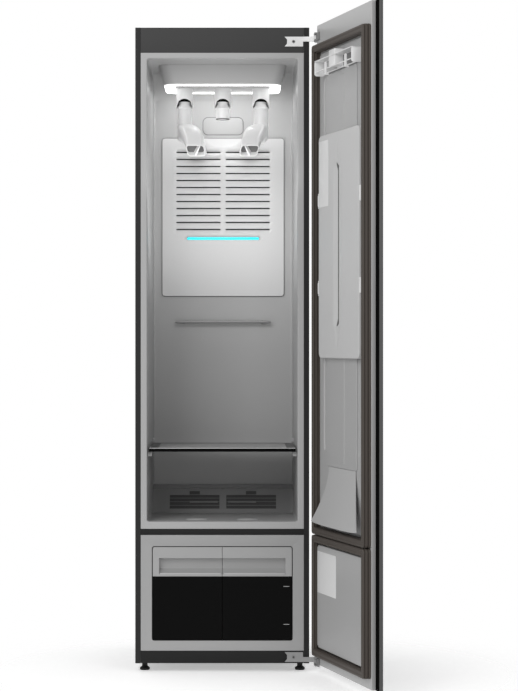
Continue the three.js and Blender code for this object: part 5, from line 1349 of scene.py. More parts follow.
    def arm_skin(self, side: int) -> Surface:
        """Lofts the two arms of a hanger through their sections and turns the skin inwards at each mouth.

        Args:
            side: -1 for the left hanger and 1 for the right one.

        Returns:
            The closed surface, about the hanger's own axis.
        """
        arm = np.array(self.arm_places)
        share = np.concatenate([-arm[:0:-1], arm])
        lip = self.lip * (1.0 - dome(np.maximum(0.0, (np.abs(share) - self.lip_from) / (1.0 - self.lip_from))))
        deep, wall = np.array(self.mouth_rows).T
        front, rear = (self.section(end * (1.0 - deep), side, wall) for end in (-1, 1))
        rows = np.concatenate([front[::-1], self.section(share, side, lip), rear])
        return Surface.grid(rows, wrap_columns=True, caps=True)

    def throat_plate(self, end: int, side: int) -> Surface:
        """Closes a mouth from inside with a plate of its own outline."""
        # The plate's mid grey is painted shade of the hollow duct behind the mouth.
        share = end * (1.0 - np.array(self.throat) / self.arm)
        return Surface.grid(self.section(share, side, self.mouth_wall), wrap_columns=True, caps=True)

    def divider(self, end: int, side: int) -> Surface:
        """Builds the leaning divider in a mouth: a thin wall from one upper corner to the middle of the floor.

        Args:
            end: -1 for the front mouth and 1 for the rear one.
            side: -1 for the left hanger and 1 for the right one.

        Returns:
            The closed surface, about the hanger's own axis.
        """
        share = end * (1.0 - np.array(self.divider_run) / self.arm)
        axis = -side * self.bow * through(np.abs(share), self.places, self.bow_shares)
        top = self.crest_line(share)
        high, low = top - self.divider_edge, top - self.mouth_height + self.divider_edge
        outer, inner = self.divider_corner
        corners = ((-outer, high), (-inner, high), (self.divider_foot, low), (-self.divider_foot, low))
        loops = np.stack([np.stack([axis + side * aside, z], axis=-1) for aside, z in corners], axis=1)
        return Surface.grid(with_level(loops, share * self.arm)[..., list(UPRIGHT)], wrap_columns=True, caps=True)

    def hanger(self, maker: Maker, place: str, side: int) -> None:
        """Makes one air hanger: its skin and neck, the dividers and floors of its mouths, and its seal.

        Args:
            maker: where the pieces go.
            place: left or right.
            side: -1 for the left one and 1 for the right one.
        """
        x, body, ends, f = side * self.pitch, f"hanger_{place}", (-1, 1), Finishes
        for name, parts, finish, replaces, crease, bevel in (
            ("body", [self.arm_skin(side), turned(self.neck(self.root_rows), 0.0, 0.0)], f.WHITE,
             (f"air_hanger_{place}",), 42, 0.0),
            ("dividers", [self.divider(end, side) for end in ends], f.WHITE, (), 32, 0.4),
            # The throat plates are mid grey: painted shade inside the mouths.
            ("shaded_throats", [self.throat_plate(end, side) for end in ends], f.MID_GREY_AND_HOLLOW_SHADE, (), 32, 0.0),
        ):
            maker.piece(f"air_hanger_{place}_{name}", Surface.joined(parts).moved(x, self.y), finish, body, replaces,
                        crease=crease, bevel=bevel)
        maker.piece(f"air_hanger_{place}_seal", self.ring_seal(x), f.SEAL, body)

    def build(self, maker: Maker) -> None:
        """Makes the ceiling's pieces.

        Args:
            maker: where the pieces go.
        """
        f = Finishes
        maker.piece("ceiling_housing_shell", self.housing(), f.HOUSING, replaces=("ceiling_housing",))
        maker.piece("light_ring_diffuser", self.ring(), f.RING, replaces=("ceiling_light_ring",))
        for place, x in (("left", -self.pitch), ("centre", 0.0), ("right", self.pitch)):
            maker.piece(f"socket_{place}_sleeve", self.socket(x), f.WHITE, replaces=(f"nozzle_socket_{place}",))
            # Black crescent in the arch: rubber trim whose legs are painted shadow of the gaps beside the neck.
            maker.piece(f"socket_{place}_arch_seal_and_shadow", self.arch_seal_and_shadow(x), f.SEAL, crease=60)
        nozzle = turned(self.neck(self.nozzle_rows), 0.0, self.y)
        maker.piece("centre_nozzle_body", nozzle, f.WHITE, "nozzle", ("centre_nozzle",))
        maker.piece("centre_nozzle_band", turned(self.band_rows, 0.0, self.y, ring=True), f.MID_GREY_AND_HOLLOW_SHADE, "nozzle")
        maker.piece("centre_nozzle_seal", self.ring_seal(0.0), f.SEAL, "nozzle")
        self.hanger(maker, "left", -1)
        self.hanger(maker, "right", 1)


@dataclass
class BackWall:
    """The air panel with its slots, the cyan light bar and the rail below."""

    half: float = 186.0
    low: float = 1088.0
    high: float = 1571.0
    face: float = 423.7
    radius: float = 8.0
    skirt: float = 5.8
    sheet: float = 2.0
    rows: int = 12
    pitch: float = 21.5
    first: float = 1528.0
    slot: float = 3.6
    inner: float = 8.0
    outer: float = 143.0
    dish: Point = (52.0, 27.0, 3.4)
    dish_columns: tuple[float, ...] = (30.0, 38.0, 44.0, 48.0)
    spacing: Span = (14.0, 20.0)
    top_marks: tuple[Span, ...] = ((5.0, 5.0), (13.0, 8.0), (24.0, 4.0))
    foot_mark: Span = (5.0, 5.0)
    bar_z: float = 1264.0
    bar_hole: Span = (110.3, 3.8)
    # A dark frame on the wall just behind the panel's edge: painted shadow of the gap round the panel.
    shadow_gap_rows: tuple[Span, ...] = ((0.0, 430.0), (0.0, 428.9), (3.0, 428.9), (3.0, 430.0))
    shadow_gap_outline: tuple[Span, Span, float] = ((-187.8, 187.8), (1086.2, 1572.8), 9.8)
    # The gauze behind the slots: a filter mesh whose darkness is painted slot shade.
    slot_shade_screen: Block = ((-147.0, 147.0), (1284.0, 1534.0), (427.9, 429.6), 4.0, 0.3)
    light_bar: Block = ((-110.0, 110.0), (1260.5, 1267.5), (423.1, 428.2), 3.4, 0.9)
    rail_z: float = 1008.0
    rail_y: float = 414.0
    rail_half: float = 146.0
    rail_taper: Point = (138.0, 4.0, 0.9)
    post_x: float = 120.0
    post_run: Span = (413.0, 429.7)
    post_radii: tuple[float, ...] = (2.8, 2.8, 2.9, 3.6, 5.2)

    def panel(self) -> Surface:
        """Builds the slotted sheet as a grid with its slot cells left open, its border turned back.

        The depth of the finger dish is that of half an ellipsoid at the upper edge.

        Returns:
            The sheet, open at its slots.
        """
        lines = self.first - np.arange(self.rows) * self.pitch
        bar_x, bar_z = self.bar_hole
        features = [(self.high - down, reach) for down, reach in self.top_marks]
        features += [(self.low + self.foot_mark[0], self.foot_mark[1]), (self.bar_z, bar_z)]
        z = np.unique(np.concatenate([
            marks((self.low, self.high), self.spacing[1], *features), lines - self.slot / 2, lines + self.slot / 2]))
        x_half = marks((0.0, self.half), self.spacing[0], (self.dish[0], 3.0), (self.half - 1.0, 1.0))
        x_half = np.unique(np.concatenate([x_half, [self.inner, self.outer, bar_x, *self.dish_columns]]))
        x = np.concatenate([-x_half[:0:-1], x_half])
        span = (self.low, self.high)
        over = np.maximum(np.abs(z - middle(span)) - (half(span) - self.radius), 0.0)
        width = self.half - self.radius + np.sqrt(np.maximum(self.radius**2 - over**2, 0.0))
        aside = np.abs(x)[None, :]
        drawn = np.sign(x)[None, :] * np.minimum(aside, width[:, None] - (self.half - aside) * 0.2)
        gx = np.where(aside > self.outer, drawn, x[None, :])
        gz = np.broadcast_to(z[:, None], gx.shape)
        a, b, deep = self.dish
        hollow = deep * np.sqrt(np.maximum(0.0, 1 - (gx / a) ** 2 - ((gz - self.high) / b) ** 2))
        front = np.stack([gx, self.face + hollow, gz], axis=-1)
        padded = np.pad(front, ((1, 1), (1, 1), (0, 0)), mode="edge")
        padded[0, :, 1] = padded[-1, :, 1] = padded[:, 0, 1] = padded[:, -1, 1] = self.face + self.skirt
        surface = Surface.grid(padded)
        zc, xc = (z[:-1] + z[1:]) / 2, (x[:-1] + x[1:]) / 2
        in_row = (np.abs(zc[:, None] - lines[None, :]) < self.slot / 2).any(axis=1)
        in_column = (np.abs(xc) > self.inner) & (np.abs(xc) < self.outer)
        bar = (np.abs(zc - self.bar_z) < bar_z)[:, None] & (np.abs(xc) < bar_x)[None, :]
        keep = np.ones((len(z) + 1, len(x) + 1), bool)
        keep[1:-1, 1:-1] = ~(in_row[:, None] & in_column[None, :] | bar)
        faces = [face for face, kept in zip(surface.faces, keep.reshape(-1).tolist()) if kept]
        return Surface(surface.points, faces)

    def rear_rail(self) -> Surface:
        """Builds a straight round bar with tapered ends on two posts that flare at the wall.

        Returns:
            The closed surface.
        """
        start, radius, taper = self.rail_taper
        across = np.linspace(-self.rail_half, self.rail_half, 40)
        end = ramp(np.abs(across), (start, self.rail_half))
        bar = np.stack(np.broadcast_arrays(across, self.rail_y, self.rail_z), axis=-1)
        run = np.linspace(*self.post_run, len(self.post_radii))
        posts = [
            rail(np.stack(np.broadcast_arrays(x, run, self.rail_z), axis=-1), np.array(self.post_radii), 20)
            for x in (-self.post_x, self.post_x)
        ]
        return Surface.joined([rail(bar, radius - taper * end, 20)] + posts)

    def build(self, maker: Maker) -> None:
        """Makes the back wall's pieces.

        Args:
            maker: where the pieces go.
        """
        f = Finishes
        sheet = maker.piece("air_panel_sheet", self.panel(), f.AIR_PANEL, replaces=("rear_air_panel",), closed=False)
        wall = sheet.modifiers.new("Wall", "SOLIDIFY")
        wall.thickness = self.sheet * METRES
        wall.offset = -1.0
        # Dark frame behind the panel's edge: painted shadow.
        maker.piece("air_panel_edge_shadow", frame_sweep(self.shadow_gap_rows, *self.shadow_gap_outline), f.PAINTED_SHADOW)
        # Gauze behind the slots, dark for painted slot shade.
        maker.piece("air_panel_gauze_and_slot_shade", plate(*self.slot_shade_screen), f.GAUZE)
        maker.piece("cyan_bar_diffuser", plate(*self.light_bar), f.CYAN, replaces=("rear_light_bar",))
        maker.piece("rear_rail_bar", self.rear_rail(), f.RAIL, replaces=("rear_rail",))


@dataclass
class Lower:
    """The shelf, the floor unit with its filters, the lower panel and the two water tanks."""

    toe: Span = (318.0, 431.0)
    crest: Span = (350.0, 501.0)
    shelf_edge: Block = ((-211.6, 211.6), (630.8, 640.0), (21.6, 22.3), 1.5, 0.3)
    shelf_line: Block = ((-211.0, 211.0), (640.1, 641.3), (21.7, 24.0), 0.4, 0.3)
    ledge: Block = ((-213.0, 213.0), (510.6, 513.0), (426.5, 429.6), 0.8, 0.4)
    cloth: Block = ((10.0, 161.0), (9.0, 72.0), (-3.4, -2.9), 1.0, 0.1)
    grip_bar: Block = ((15.0, 80.0), (33.0, 38.0), (0.2, 1.6), 1.6, 0.5)
    # A thin black frame round the tank bay: painted shadow of the gap between the tanks and the panel.
    bay_gap_shadow_rows: tuple[Span, ...] = ((0.0, 0.3), (0.0, -0.2), (1.9, -0.2), (1.9, 0.3))
    bay_gap_shadow: tuple[Span, Span, float] = ((-202.2, 202.2), (89.3, 360.3), 7.0)
    sill: Block = ((4.0, 180.0), (279.4, 283.6), (0.6, 2.4), 1.2, 0.5)
    tick: Block = ((176.0, 192.5), (-0.6, 0.6), (-0.1, 0.25), 0.3, 0.05)
    tick_heights: Span = (245.0, 136.0)

    def on_slope(self, surface: Surface) -> Surface:
        """Stands a surface of (x, up the slope from its toe, out of it) on the floor unit's sloping front.

        Args:
            surface: the surface about the slope's toe.

        Returns:
            The same surface in the cabinet's coordinates.
        """
        run, rise = self.crest[0] - self.toe[0], self.crest[1] - self.toe[1]
        sine, cosine = run / math.hypot(run, rise), rise / math.hypot(run, rise)
        x, up, out = surface.points.T
        points = np.stack([x, self.toe[0] + up * sine - out * cosine, self.toe[1] + up * cosine + out * sine], axis=-1)
        return Surface(points, surface.faces)

    def handed(self, block: Block, hand: int, order: Sequence[int] = UPRIGHT) -> Surface:
        """Builds a block, or its mirror on the left where the hand is -1."""
        near, far = sorted(hand * x for x in block[0])
        return plate((near, far), *block[1:], order)

    def build(self, maker: Maker) -> None:
        """Makes the lower pieces.

        Args:
            maker: where the pieces go.
        """
        f = Finishes
        maker.refined("shelf_frame", f.SHELF, 0.8, "shelf")
        maker.refined("shelf_panel", f.PANEL, 0.5, "shelf")
        maker.piece("shelf_front_edge", plate(*self.shelf_edge), f.BLACK_EDGE_AND_GAP_SHADE, "shelf")
        maker.piece("shelf_edge_line", plate(*self.shelf_line), f.WHITE, "shelf")
        maker.refined("floor_unit_cover", f.SMOKE, 0.8)
        maker.piece("floor_unit_ledge", plate(*self.ledge), f.GRIP)
        for body, hand in (("filter_left", -1), ("filter_right", 1)):
            maker.refined(f"lint_{body}", f.FILTER, 0.4, body)
            maker.piece(f"{body}_cloth", self.on_slope(self.handed(self.cloth, hand, FLAT)), f.CLOTH, body)
            maker.piece(f"{body}_grip_bar", self.on_slope(self.handed(self.grip_bar, hand, FLAT)), f.FILTER, body)
        maker.refined("lower_panel", f.PANEL, 0.6)
        # Black frame round the tank bay: painted gap shadow.
        maker.piece("tank_bay_outline", frame_sweep(self.bay_gap_shadow_rows, *self.bay_gap_shadow), f.BLACK_EDGE_AND_GAP_SHADE, crease=60)
        for tank, hand in (("drain_tank", -1), ("supply_tank", 1)):
            maker.refined(f"{tank}_body", f.GLASS_BLACK, 0.7, tank)
            maker.refined(f"{tank}_lid", f.GRIP, 0.7, tank)
            maker.piece(f"{tank}_grip_sill", self.handed(self.sill, hand), f.SILL, tank)
        maker.piece("supply_tank_level_marks", stacked([self.tick], self.tick_heights), f.MARK, "supply_tank")


@dataclass
class Door:
    """The open door: slab, inner plate, gaskets, board, trouser press, guide and clip bar."""

    low: float = 28.0
    high: float = 1849.0
    slab_line: tuple[Span, ...] = ((200.0, -11.3), (-0.5, -11.3), (-0.5, -23.1), (517.9, -23.1), (517.9, -11.3),
                                   (200.0, -11.3))
    slab_centre: Span = (258.75, -17.3)
    slab_half: Span = (259.25, 6.0)
    slab_rows: tuple[Span, ...] = ((1.2, 0.0), (0.35, 0.35), (0.0, 1.2))
    slab_bend: float = 5.0
    plate_s: Span = (0.0, 488.0)
    plate_z: Span = (28.8, 1848.2)
    plate_levels: Span = (-11.0, -1.2)
    plate_steps: tuple[Step, ...] = (
        Step((38.5, 459.5), (426.5, 1764.0), 14.0, (0.0, 4.0), 4.0),
        Step((38.5, 459.5), (81.0, 377.5), 14.0, (0.0, 4.0), 12.0),
        Step((79.0, 118.0), (640.0, 1690.0), 12.0, (-1.0, 2.0), -2.6),
        Step((384.0, 423.0), (640.0, 1690.0), 12.0, (-1.0, 2.0), -2.6),
        Step((0.0, 488.0), (28.8, 1848.2), 0.5, (0.0, 1.8), 1.2))
    plate_spacing: Span = (24.0, 30.0)
    plate_marks_s: tuple[Span, ...] = (
        (0.9, 0.9), (487.1, 0.9), (40.5, 3.0), (457.5, 3.0), (79.0, 3.0), (118.0, 3.0), (384.0, 3.0), (423.0, 3.0))
    plate_marks_z: tuple[Span, ...] = (
        (29.7, 0.9), (1847.3, 0.9), (83.0, 3.0), (375.5, 3.0), (428.5, 3.0), (1762.0, 3.0), (640.0, 3.0),
        (1690.0, 3.0), (650.0, 8.0), (1680.0, 8.0), (436.0, 6.0), (1754.0, 6.0), (90.0, 6.0), (368.0, 6.0))
    gasket_span: Span = (14.5, 483.5)
    gasket_upper: Span = (402.5, 1788.0)
    gasket_lower: Span = (57.0, 401.5)
    gasket_width: float = 22.0
    gasket_corner: float = 10.0
    gasket_crown: Span = (11.0, 21.3)
    gasket_flank: tuple[Span, ...] = (
        (0.2, 0.3), (0.0, 1.5), (0.0, 5.6), (0.6, 6.2), (3.4, 6.6), (3.4, 7.9), (0.7, 8.4), (0.3, 9.2), (0.3, 14.8),
        (0.9, 15.6), (3.6, 16.0), (3.6, 17.3), (1.4, 17.8), (1.0, 18.6), (1.2, 20.2), (2.6, 21.5), (5.0, 22.0),
        (9.5, 22.0))
    # A thin black strip on the slab beyond the inner plate's edge: painted shade of the grip recess.
    grip_recess_shade: Block = ((489.0, 516.0), (29.0, 1848.0), (-11.3, -10.6), 1.0, 0.3)
    board_s: Span = (118.0, 384.0)
    board_z: Span = (600.3, 1694.0)
    board_levels: Span = (4.3, 6.1)
    board_corner: float = 13.5
    board_steps: tuple[Step, ...] = (
        Step((118.0, 384.0), (600.0, 1694.0), 14.0, (0.0, 1.5), 1.2),
        Step((226.0, 276.0), (614.0, 1680.0), 4.0, (-0.75, 0.75), 1.0))
    board_spacing: Span = (20.0, 30.0)
    board_marks_s: tuple[Span, ...] = ((119.2, 1.2), (382.8, 1.2), (226.0, 1.5), (276.0, 1.5))
    board_marks_z: tuple[Span, ...] = (
        (601.5, 1.2), (1692.8, 1.2), (608.0, 8.0), (1686.0, 8.0), (614.0, 1.5), (1680.0, 1.5))
    press_s: Span = (81.0, 443.0)
    press_z: Span = (902.0, 1524.0)
    press_faces: Span = (8.4, 20.4)
    press_corner: float = 18.0
    press_rim: float = 3.0
    press_spacing: Span = (5.0, 9.0)
    press_marks_s: tuple[Span, ...] = ((83.0, 2.0), (441.0, 2.0), (261.0, 4.0), (280.0, 13.0))
    press_marks_z: tuple[Span, ...] = (
        (904.0, 2.0), (1522.0, 2.0), (913.0, 9.0), (1513.0, 9.0), (1002.0, 16.0), (1425.0, 16.0))
    channel_middle: Span = (251.0, 1213.5)
    channel_depth: float = 8.0
    channel_end: Span = (228.5, 212.5)
    channel_slope: Span = (209.0, 257.0)
    channel_foot: Span = (258.0, 263.0)
    channel_foot_rise: float = 0.75
    channel_far_side: Span = (267.0, 293.0)
    point_depth: float = 1.8
    point_half: float = 30.0
    point_run: Span = (212.0, 296.0)
    point_edge: Span = (0.0, 9.0)
    point_end: Span = (205.0, 215.0)
    # Where the dark strip of painted shade lies along the channel's corner.
    channel_shadow_s: Span = (242.0, 249.5)
    channel_shadow_z: Span = (990.0, 1438.0)
    channel_shadow_levels: Span = (11.0, 0.15)
    tabs: tuple[Block, ...] = (
        ((70.1, 80.9), (-16.5, 16.5), (9.0, 19.8), 4.0, 1.2), ((441.0, 451.0), (-21.0, 21.0), (10.4, 19.1), 2.5, 1.2))
    tab_heights: Span = (1343.0, 1098.0)
    guide_z: Span = (599.7, 438.0)
    guide_near: Span = (136.0, 48.0)
    guide_far: Span = (372.0, 455.0)
    guide_rise: Span = (4.7, 31.0)
    guide_sheet: float = 2.2
    guide_crown: float = 3.0
    guide_sag: float = 4.0
    guide_powers: Point = (1.7, 1.6, 6.0)
    clip_line: tuple[Span, ...] = ((8.9, 1697.0), (8.9, 1731.8), (37.6, 1731.8))
    clip_sheet: Span = (2.4, 4.0)
    clip_run: Span = (98.0, 433.0)
    clip_end: tuple[Span, Span] = ((8.2, 38.0), (1691.0, 1733.0))
    clip_end_runs: tuple[Span, Span] = ((98.0, 101.0), (430.0, 433.0))
    clip_end_radii: Span = (7.0, 0.9)
    clip_block: Block = ((222.0, 277.0), (1703.0, 1747.6), (4.4, 35.0), 4.0, 1.4)
    clip_rod: tuple[Span, float, float, float] = ((99.5, 431.5), 33.5, 1702.0, 1.7)
    lever_near: float = 190.0
    lever_far: float = 369.0
    lever_half: float = 3.0
    lever_blocks: tuple[tuple[Span, Span, float, float], ...] = (
        ((30.3, 36.7), (1685.0, 1721.0), 2.8, 0.8), ((24.4, 33.0), (1685.0, 1689.0), 1.6, 0.7))
    # Sheets inside the clip bar's channel, darker than its white: painted shade of the channel's inside.
    near_painted_shade: Block = ((101.5, 221.5), (1700.0, 1730.0), (10.3, 10.7), 2.0, 0.1)
    far_painted_shade: Block = ((277.5, 429.5), (1700.0, 1730.0), (10.3, 10.7), 2.0, 0.1)
    lower_label: Block = ((44.0, 216.0), (240.0, 357.0), (12.0, 12.35), 3.0, 0.12)
    press_label: Block = ((86.0, 172.0), (1324.0, 1508.0), (20.4, 20.75), 3.0, 0.12)

    def slab(self) -> Surface:
        """Rounds the slab's section at the front and at the grip edge and runs it up the door.

        Returns:
            The closed surface.
        """
        loop = fillet(self.slab_line, self.slab_bend, steps=6)[:-1]
        centre = np.array(self.slab_centre)
        ends = [(inset, self.low + up) for inset, up in self.slab_rows]
        ends += [(inset, self.high - down) for inset, down in self.slab_rows[::-1]]
        rings = [np.column_stack([(loop - centre) * (1.0 - inset / np.array(self.slab_half)) + centre,
                                  np.full(len(loop), z)]) for inset, z in ends]
        return Surface.grid(np.stack(rings), wrap_columns=True, caps=True)

    def inner(self) -> Surface:
        """Builds the inner plate: raised fields inside both gaskets and two long grooves beside the board.

        Returns:
            The closed surface.
        """
        s_marks = marks(self.plate_s, self.plate_spacing[0], *self.plate_marks_s)
        z_marks = marks(self.plate_z, self.plate_spacing[1], *self.plate_marks_z)
        base, level = self.plate_levels
        return relief(s_marks, z_marks, base, stepped(level, self.plate_steps))

    def gasket(self, span: Span) -> Surface:
        """Carries the seal's section round its frame: three ribs with two grooves between, and a soft crown.

        Args:
            span: its lower and its upper end.

        Returns:
            The closed ring.
        """
        flank = np.array(self.gasket_flank)
        mirrored = (flank * [-1.0, 1.0] + [self.gasket_width, 0.0])[::-1]
        profile = np.concatenate([flank, [self.gasket_crown], mirrored])
        return frame_sweep(profile, self.gasket_span, span, self.gasket_corner)

    def board(self) -> Surface:
        """Builds the press board with its raised middle band.

        Returns:
            The closed surface.
        """
        s_marks = marks(self.board_s, self.board_spacing[0], *self.board_marks_s)
        z_marks = marks(self.board_z, self.board_spacing[1], *self.board_marks_z)
        base, level = self.board_levels
        return relief(s_marks, z_marks, base, stepped(level, self.board_steps), radius=self.board_corner)

    def press_height(self, s: Array, z: Array) -> Array:
        """Works out the press plate's face.

        The rim falls off as a quarter circle. The channel slopes down from the hinge side, rises steeply on the
        far side, and both its ends run out into shallow points.

        Args:
            s: places across the door.
            z: heights.

        Returns:
            How far the face stands out of the door.
        """
        edge = depth_in(s, z, self.press_s, self.press_z, self.press_corner) / self.press_rim
        rim = self.press_rim * (1.0 - dome(1.0 - np.clip(edge, 0.0, 1.0)))
        aside, over = np.abs(s - self.channel_middle[0]), np.abs(z - self.channel_middle[1])
        channel = self.channel_depth * ramp(over, self.channel_end) * ramp(s, self.channel_slope)
        channel *= 1.0 - self.channel_foot_rise * ramp(s, self.channel_foot)
        channel *= 1.0 - ramp(s, self.channel_far_side)
        start, end = self.point_run
        point = self.point_half * (1.0 - (over - start) / (end - start)) - aside
        points = self.point_depth * ramp(point, self.point_edge) * ramp(over, self.point_end)
        return self.press_faces[1] - rim - np.maximum(channel, points)

    def press(self) -> Surface:
        """Builds the press plate: a rounded outline and a pressed channel with a steep far side and pointed ends.

        Returns:
            The closed surface.
        """
        s_marks = marks(self.press_s, self.press_spacing[0], *self.press_marks_s)
        z_marks = marks(self.press_z, self.press_spacing[1], *self.press_marks_z)
        return relief(s_marks, z_marks, self.press_faces[0], self.press_height, radius=self.press_corner)

    def press_channel_shadow(self) -> Surface:
        """Lays a narrow dark strip along the foot of the channel's sloping side: painted shade in the channel's
        corner.

        Returns:
            The closed surface.
        """
        base, lift = self.channel_shadow_levels
        s_marks, z_marks = np.linspace(*self.channel_shadow_s, 6), marks(self.channel_shadow_z, 20.0)
        return relief(s_marks, z_marks, base, lambda s, z: self.press_height(s, z) + lift)

    def guide(self) -> Surface:
        """Sweeps the trouser guide: a sheet that widens and stands off the door towards its lower edge.

        Down the sheet by t, both sides spread as t to the power 1.7, the stand-off grows as t to the power 1.6,
        and the crown is a half sine across. The lower edge is straight in its middle and bends at its ends, by the
        sixth power across.

        Returns:
            The closed surface.
        """
        t = np.linspace(0.0, 1.0, 40)[:, None]
        u = np.linspace(0.0, 1.0, 48)[None, :]
        spread, stand, bend = self.guide_powers
        near, far = between(self.guide_near, t**spread), between(self.guide_far, t**spread)
        s = near + (far - near) * u
        rise = between(self.guide_rise, t**stand) + self.guide_crown * t * np.sin(math.pi * u)
        sag = self.guide_sag * t * (1.0 - np.abs(2 * u - 1.0) ** bend)
        z = between(self.guide_z, t) - sag + self.guide_sag * t
        over = np.stack([s, rise + self.guide_sheet, z], axis=-1)
        under = np.stack([s, rise, z], axis=-1)[:, ::-1]
        return Surface.grid(np.concatenate([over, under], axis=1), wrap_columns=True, caps=True)

    def clip_channel(self) -> Surface:
        """Builds the clip bar's channel: a roof and a back with rounded ends that turn down, a block and a rod.

        Returns:
            The closed surface.
        """
        run, n, z, radius = self.clip_rod
        rod = np.stack(np.broadcast_arrays(np.linspace(*run, 12), n, z), axis=-1)
        return Surface.joined([
            folded_sheet(self.clip_line, *self.clip_sheet, self.clip_run, ACROSS),
            *(plate(*self.clip_end, ends, *self.clip_end_radii, ACROSS) for ends in self.clip_end_runs),
            plate(*self.clip_block), rail(rod, radius)])

    def lever(self, s: float) -> Surface:
        """Builds one clip lever: a thin blade with a hooked foot round the rod.

        Args:
            s: the place of its middle.

        Returns:
            The closed surface.
        """
        width = (s - self.lever_half, s + self.lever_half)
        return Surface.joined([plate(n, z, width, *radii, ACROSS) for n, z, *radii in self.lever_blocks])

    def build(self, maker: Maker) -> None:
        """Makes the door's pieces.

        Args:
            maker: where the pieces go.
        """
        f = Finishes
        for name, surface, finish, body, node, crease in (
            ("door_slab_tray", self.slab(), f.DOOR_PAINT, "door", "door_front_slab", 32),
            ("door_plate_moulding", self.inner(), f.DOOR_LINER, "door", "door_inner_plate", 50),
            ("gasket_upper_seal", self.gasket(self.gasket_upper), f.RUBBER, "door", "door_gasket_upper", 60),
            ("gasket_lower_seal", self.gasket(self.gasket_lower), f.RUBBER, "door", "door_gasket_lower", 60),
            ("press_board_moulding", self.board(), f.DOOR_LINER, "door", "press_board", 50),
            # Black strip in the grip recess: painted shade.
            ("grip_edge_strip", plate(*self.grip_recess_shade), f.BLACK_EDGE_AND_GAP_SHADE, "door", "", 32),
            ("press_plate_moulding", self.press(), f.PRESS, "press", "press_plate", 50),
            ("press_plate_tabs", stacked(self.tabs, self.tab_heights), f.WHITE, "press", "", 32),
            # Dark strip in the channel's corner: painted shade.
            ("press_channel_painted_shadow", self.press_channel_shadow(), f.PAINTED_SHADOW, "press", "", 32),
            ("trouser_guide_sheet", self.guide(), f.GUIDE, "door", "trouser_guide", 32),
            ("clip_bar_channel", self.clip_channel(), f.WHITE, "door", "clip_bar", 32),
            # Darker sheets inside the clip bar: painted shade.
            ("clip_bar_near_recess", plate(*self.near_painted_shade), f.LINER, "door", "", 32),
            ("clip_bar_far_recess", plate(*self.far_painted_shade), f.MID_GREY_AND_HOLLOW_SHADE, "door", "", 32),
            ("clip_lever_near_blade", self.lever(self.lever_near), f.WHITE, "clip_near", "clip_lever_near", 32),
            ("clip_lever_far_blade", self.lever(self.lever_far), f.WHITE, "clip_far", "clip_lever_far", 32),
            ("lower_blank_label", plate(*self.lower_label), f.LABEL, "door", "", 32),
            ("press_blank_label", plate(*self.press_label), f.LABEL, "press", "", 32),
        ):
            maker.piece(name, surface, finish, body, (node,) if node else (), on_door=True, crease=crease)
        maker.dress("door_foam", f.FOAM)
        for node in ("press_hinge_upper", "press_hinge_lower"):
            maker.refined(node, f.WHITE, 0.7, "door")


@dataclass
class Hardware:
    """Hinges and the machine room."""

    bevel: float = 0.6
    wheel_bevel: float = 0.3
    screw_heights: tuple[tuple[str, float], ...] = (("top", 1809.5), ("bottom", 42.5))
    head: Block = ((200.0, 209.2), (-4.6, 4.6), (-4.7, -3.1), 4.5, 0.6)
    # A raised black cross on each screw head stands for the head's cross recess: painted shade.
    cross: tuple[Block, ...] = (
        ((201.6, 207.6), (-0.8, 0.8), (-4.85, -4.6), 0.6, 0.05),
        ((203.8, 205.4), (-3.0, 3.0), (-4.85, -4.6), 0.6, 0.05))

    def build(self, maker: Maker) -> None:
        """Makes the hinges' pieces and dresses the machine room.

        Args:
            maker: where the pieces go.
        """
        f = Finishes
        # Upper plate in the lighter copy (painted light), lower plate in the darker copy (painted shade).
        maker.refined("hinge_plate_top", f.HINGE_TOP_LIT, self.bevel)
        maker.refined("hinge_plate_bottom", f.HINGE_LOW_SHADED, self.bevel)
        for place, z in self.screw_heights:
            maker.piece(f"hinge_{place}_screw", stacked([self.head], [z]), f.SCREW)
            # Black cross on the screw head: painted shade of its recess.
            maker.piece(f"hinge_{place}_screw_slot_shade", stacked(self.cross, [z]), f.BLACK)
        for place, _ in self.screw_heights:
            maker.refined(f"hinge_bracket_{place}", f.BRACKET, self.bevel, "door")
        for node, finish in (
            ("air_duct", f.WHITE), ("blower_housing", f.BLACK), ("compressor", f.COMPRESSOR),
            ("heat_exchanger", f.FINS), ("steam_generator", f.BOILER), ("water_pump", f.BLACK),
            ("control_box", f.WHITE),
        ):
            maker.refined(node, finish, self.bevel)
        maker.refined("blower_wheel", f.BLACK, self.wheel_bevel, "wheel")


# ---------------------------------------------------------------- studio


@dataclass(frozen=True)
class Lamp:
    """One soft lamp: where it is and what it points at, its width and height in metres, and its power.

    The lamps inside the cabinet have their places in its own millimetres, the others in metres in the frame.
    """

    name: str
    place: Point
    aim: Point
    size: Span
    watts: float
    inside: bool = False


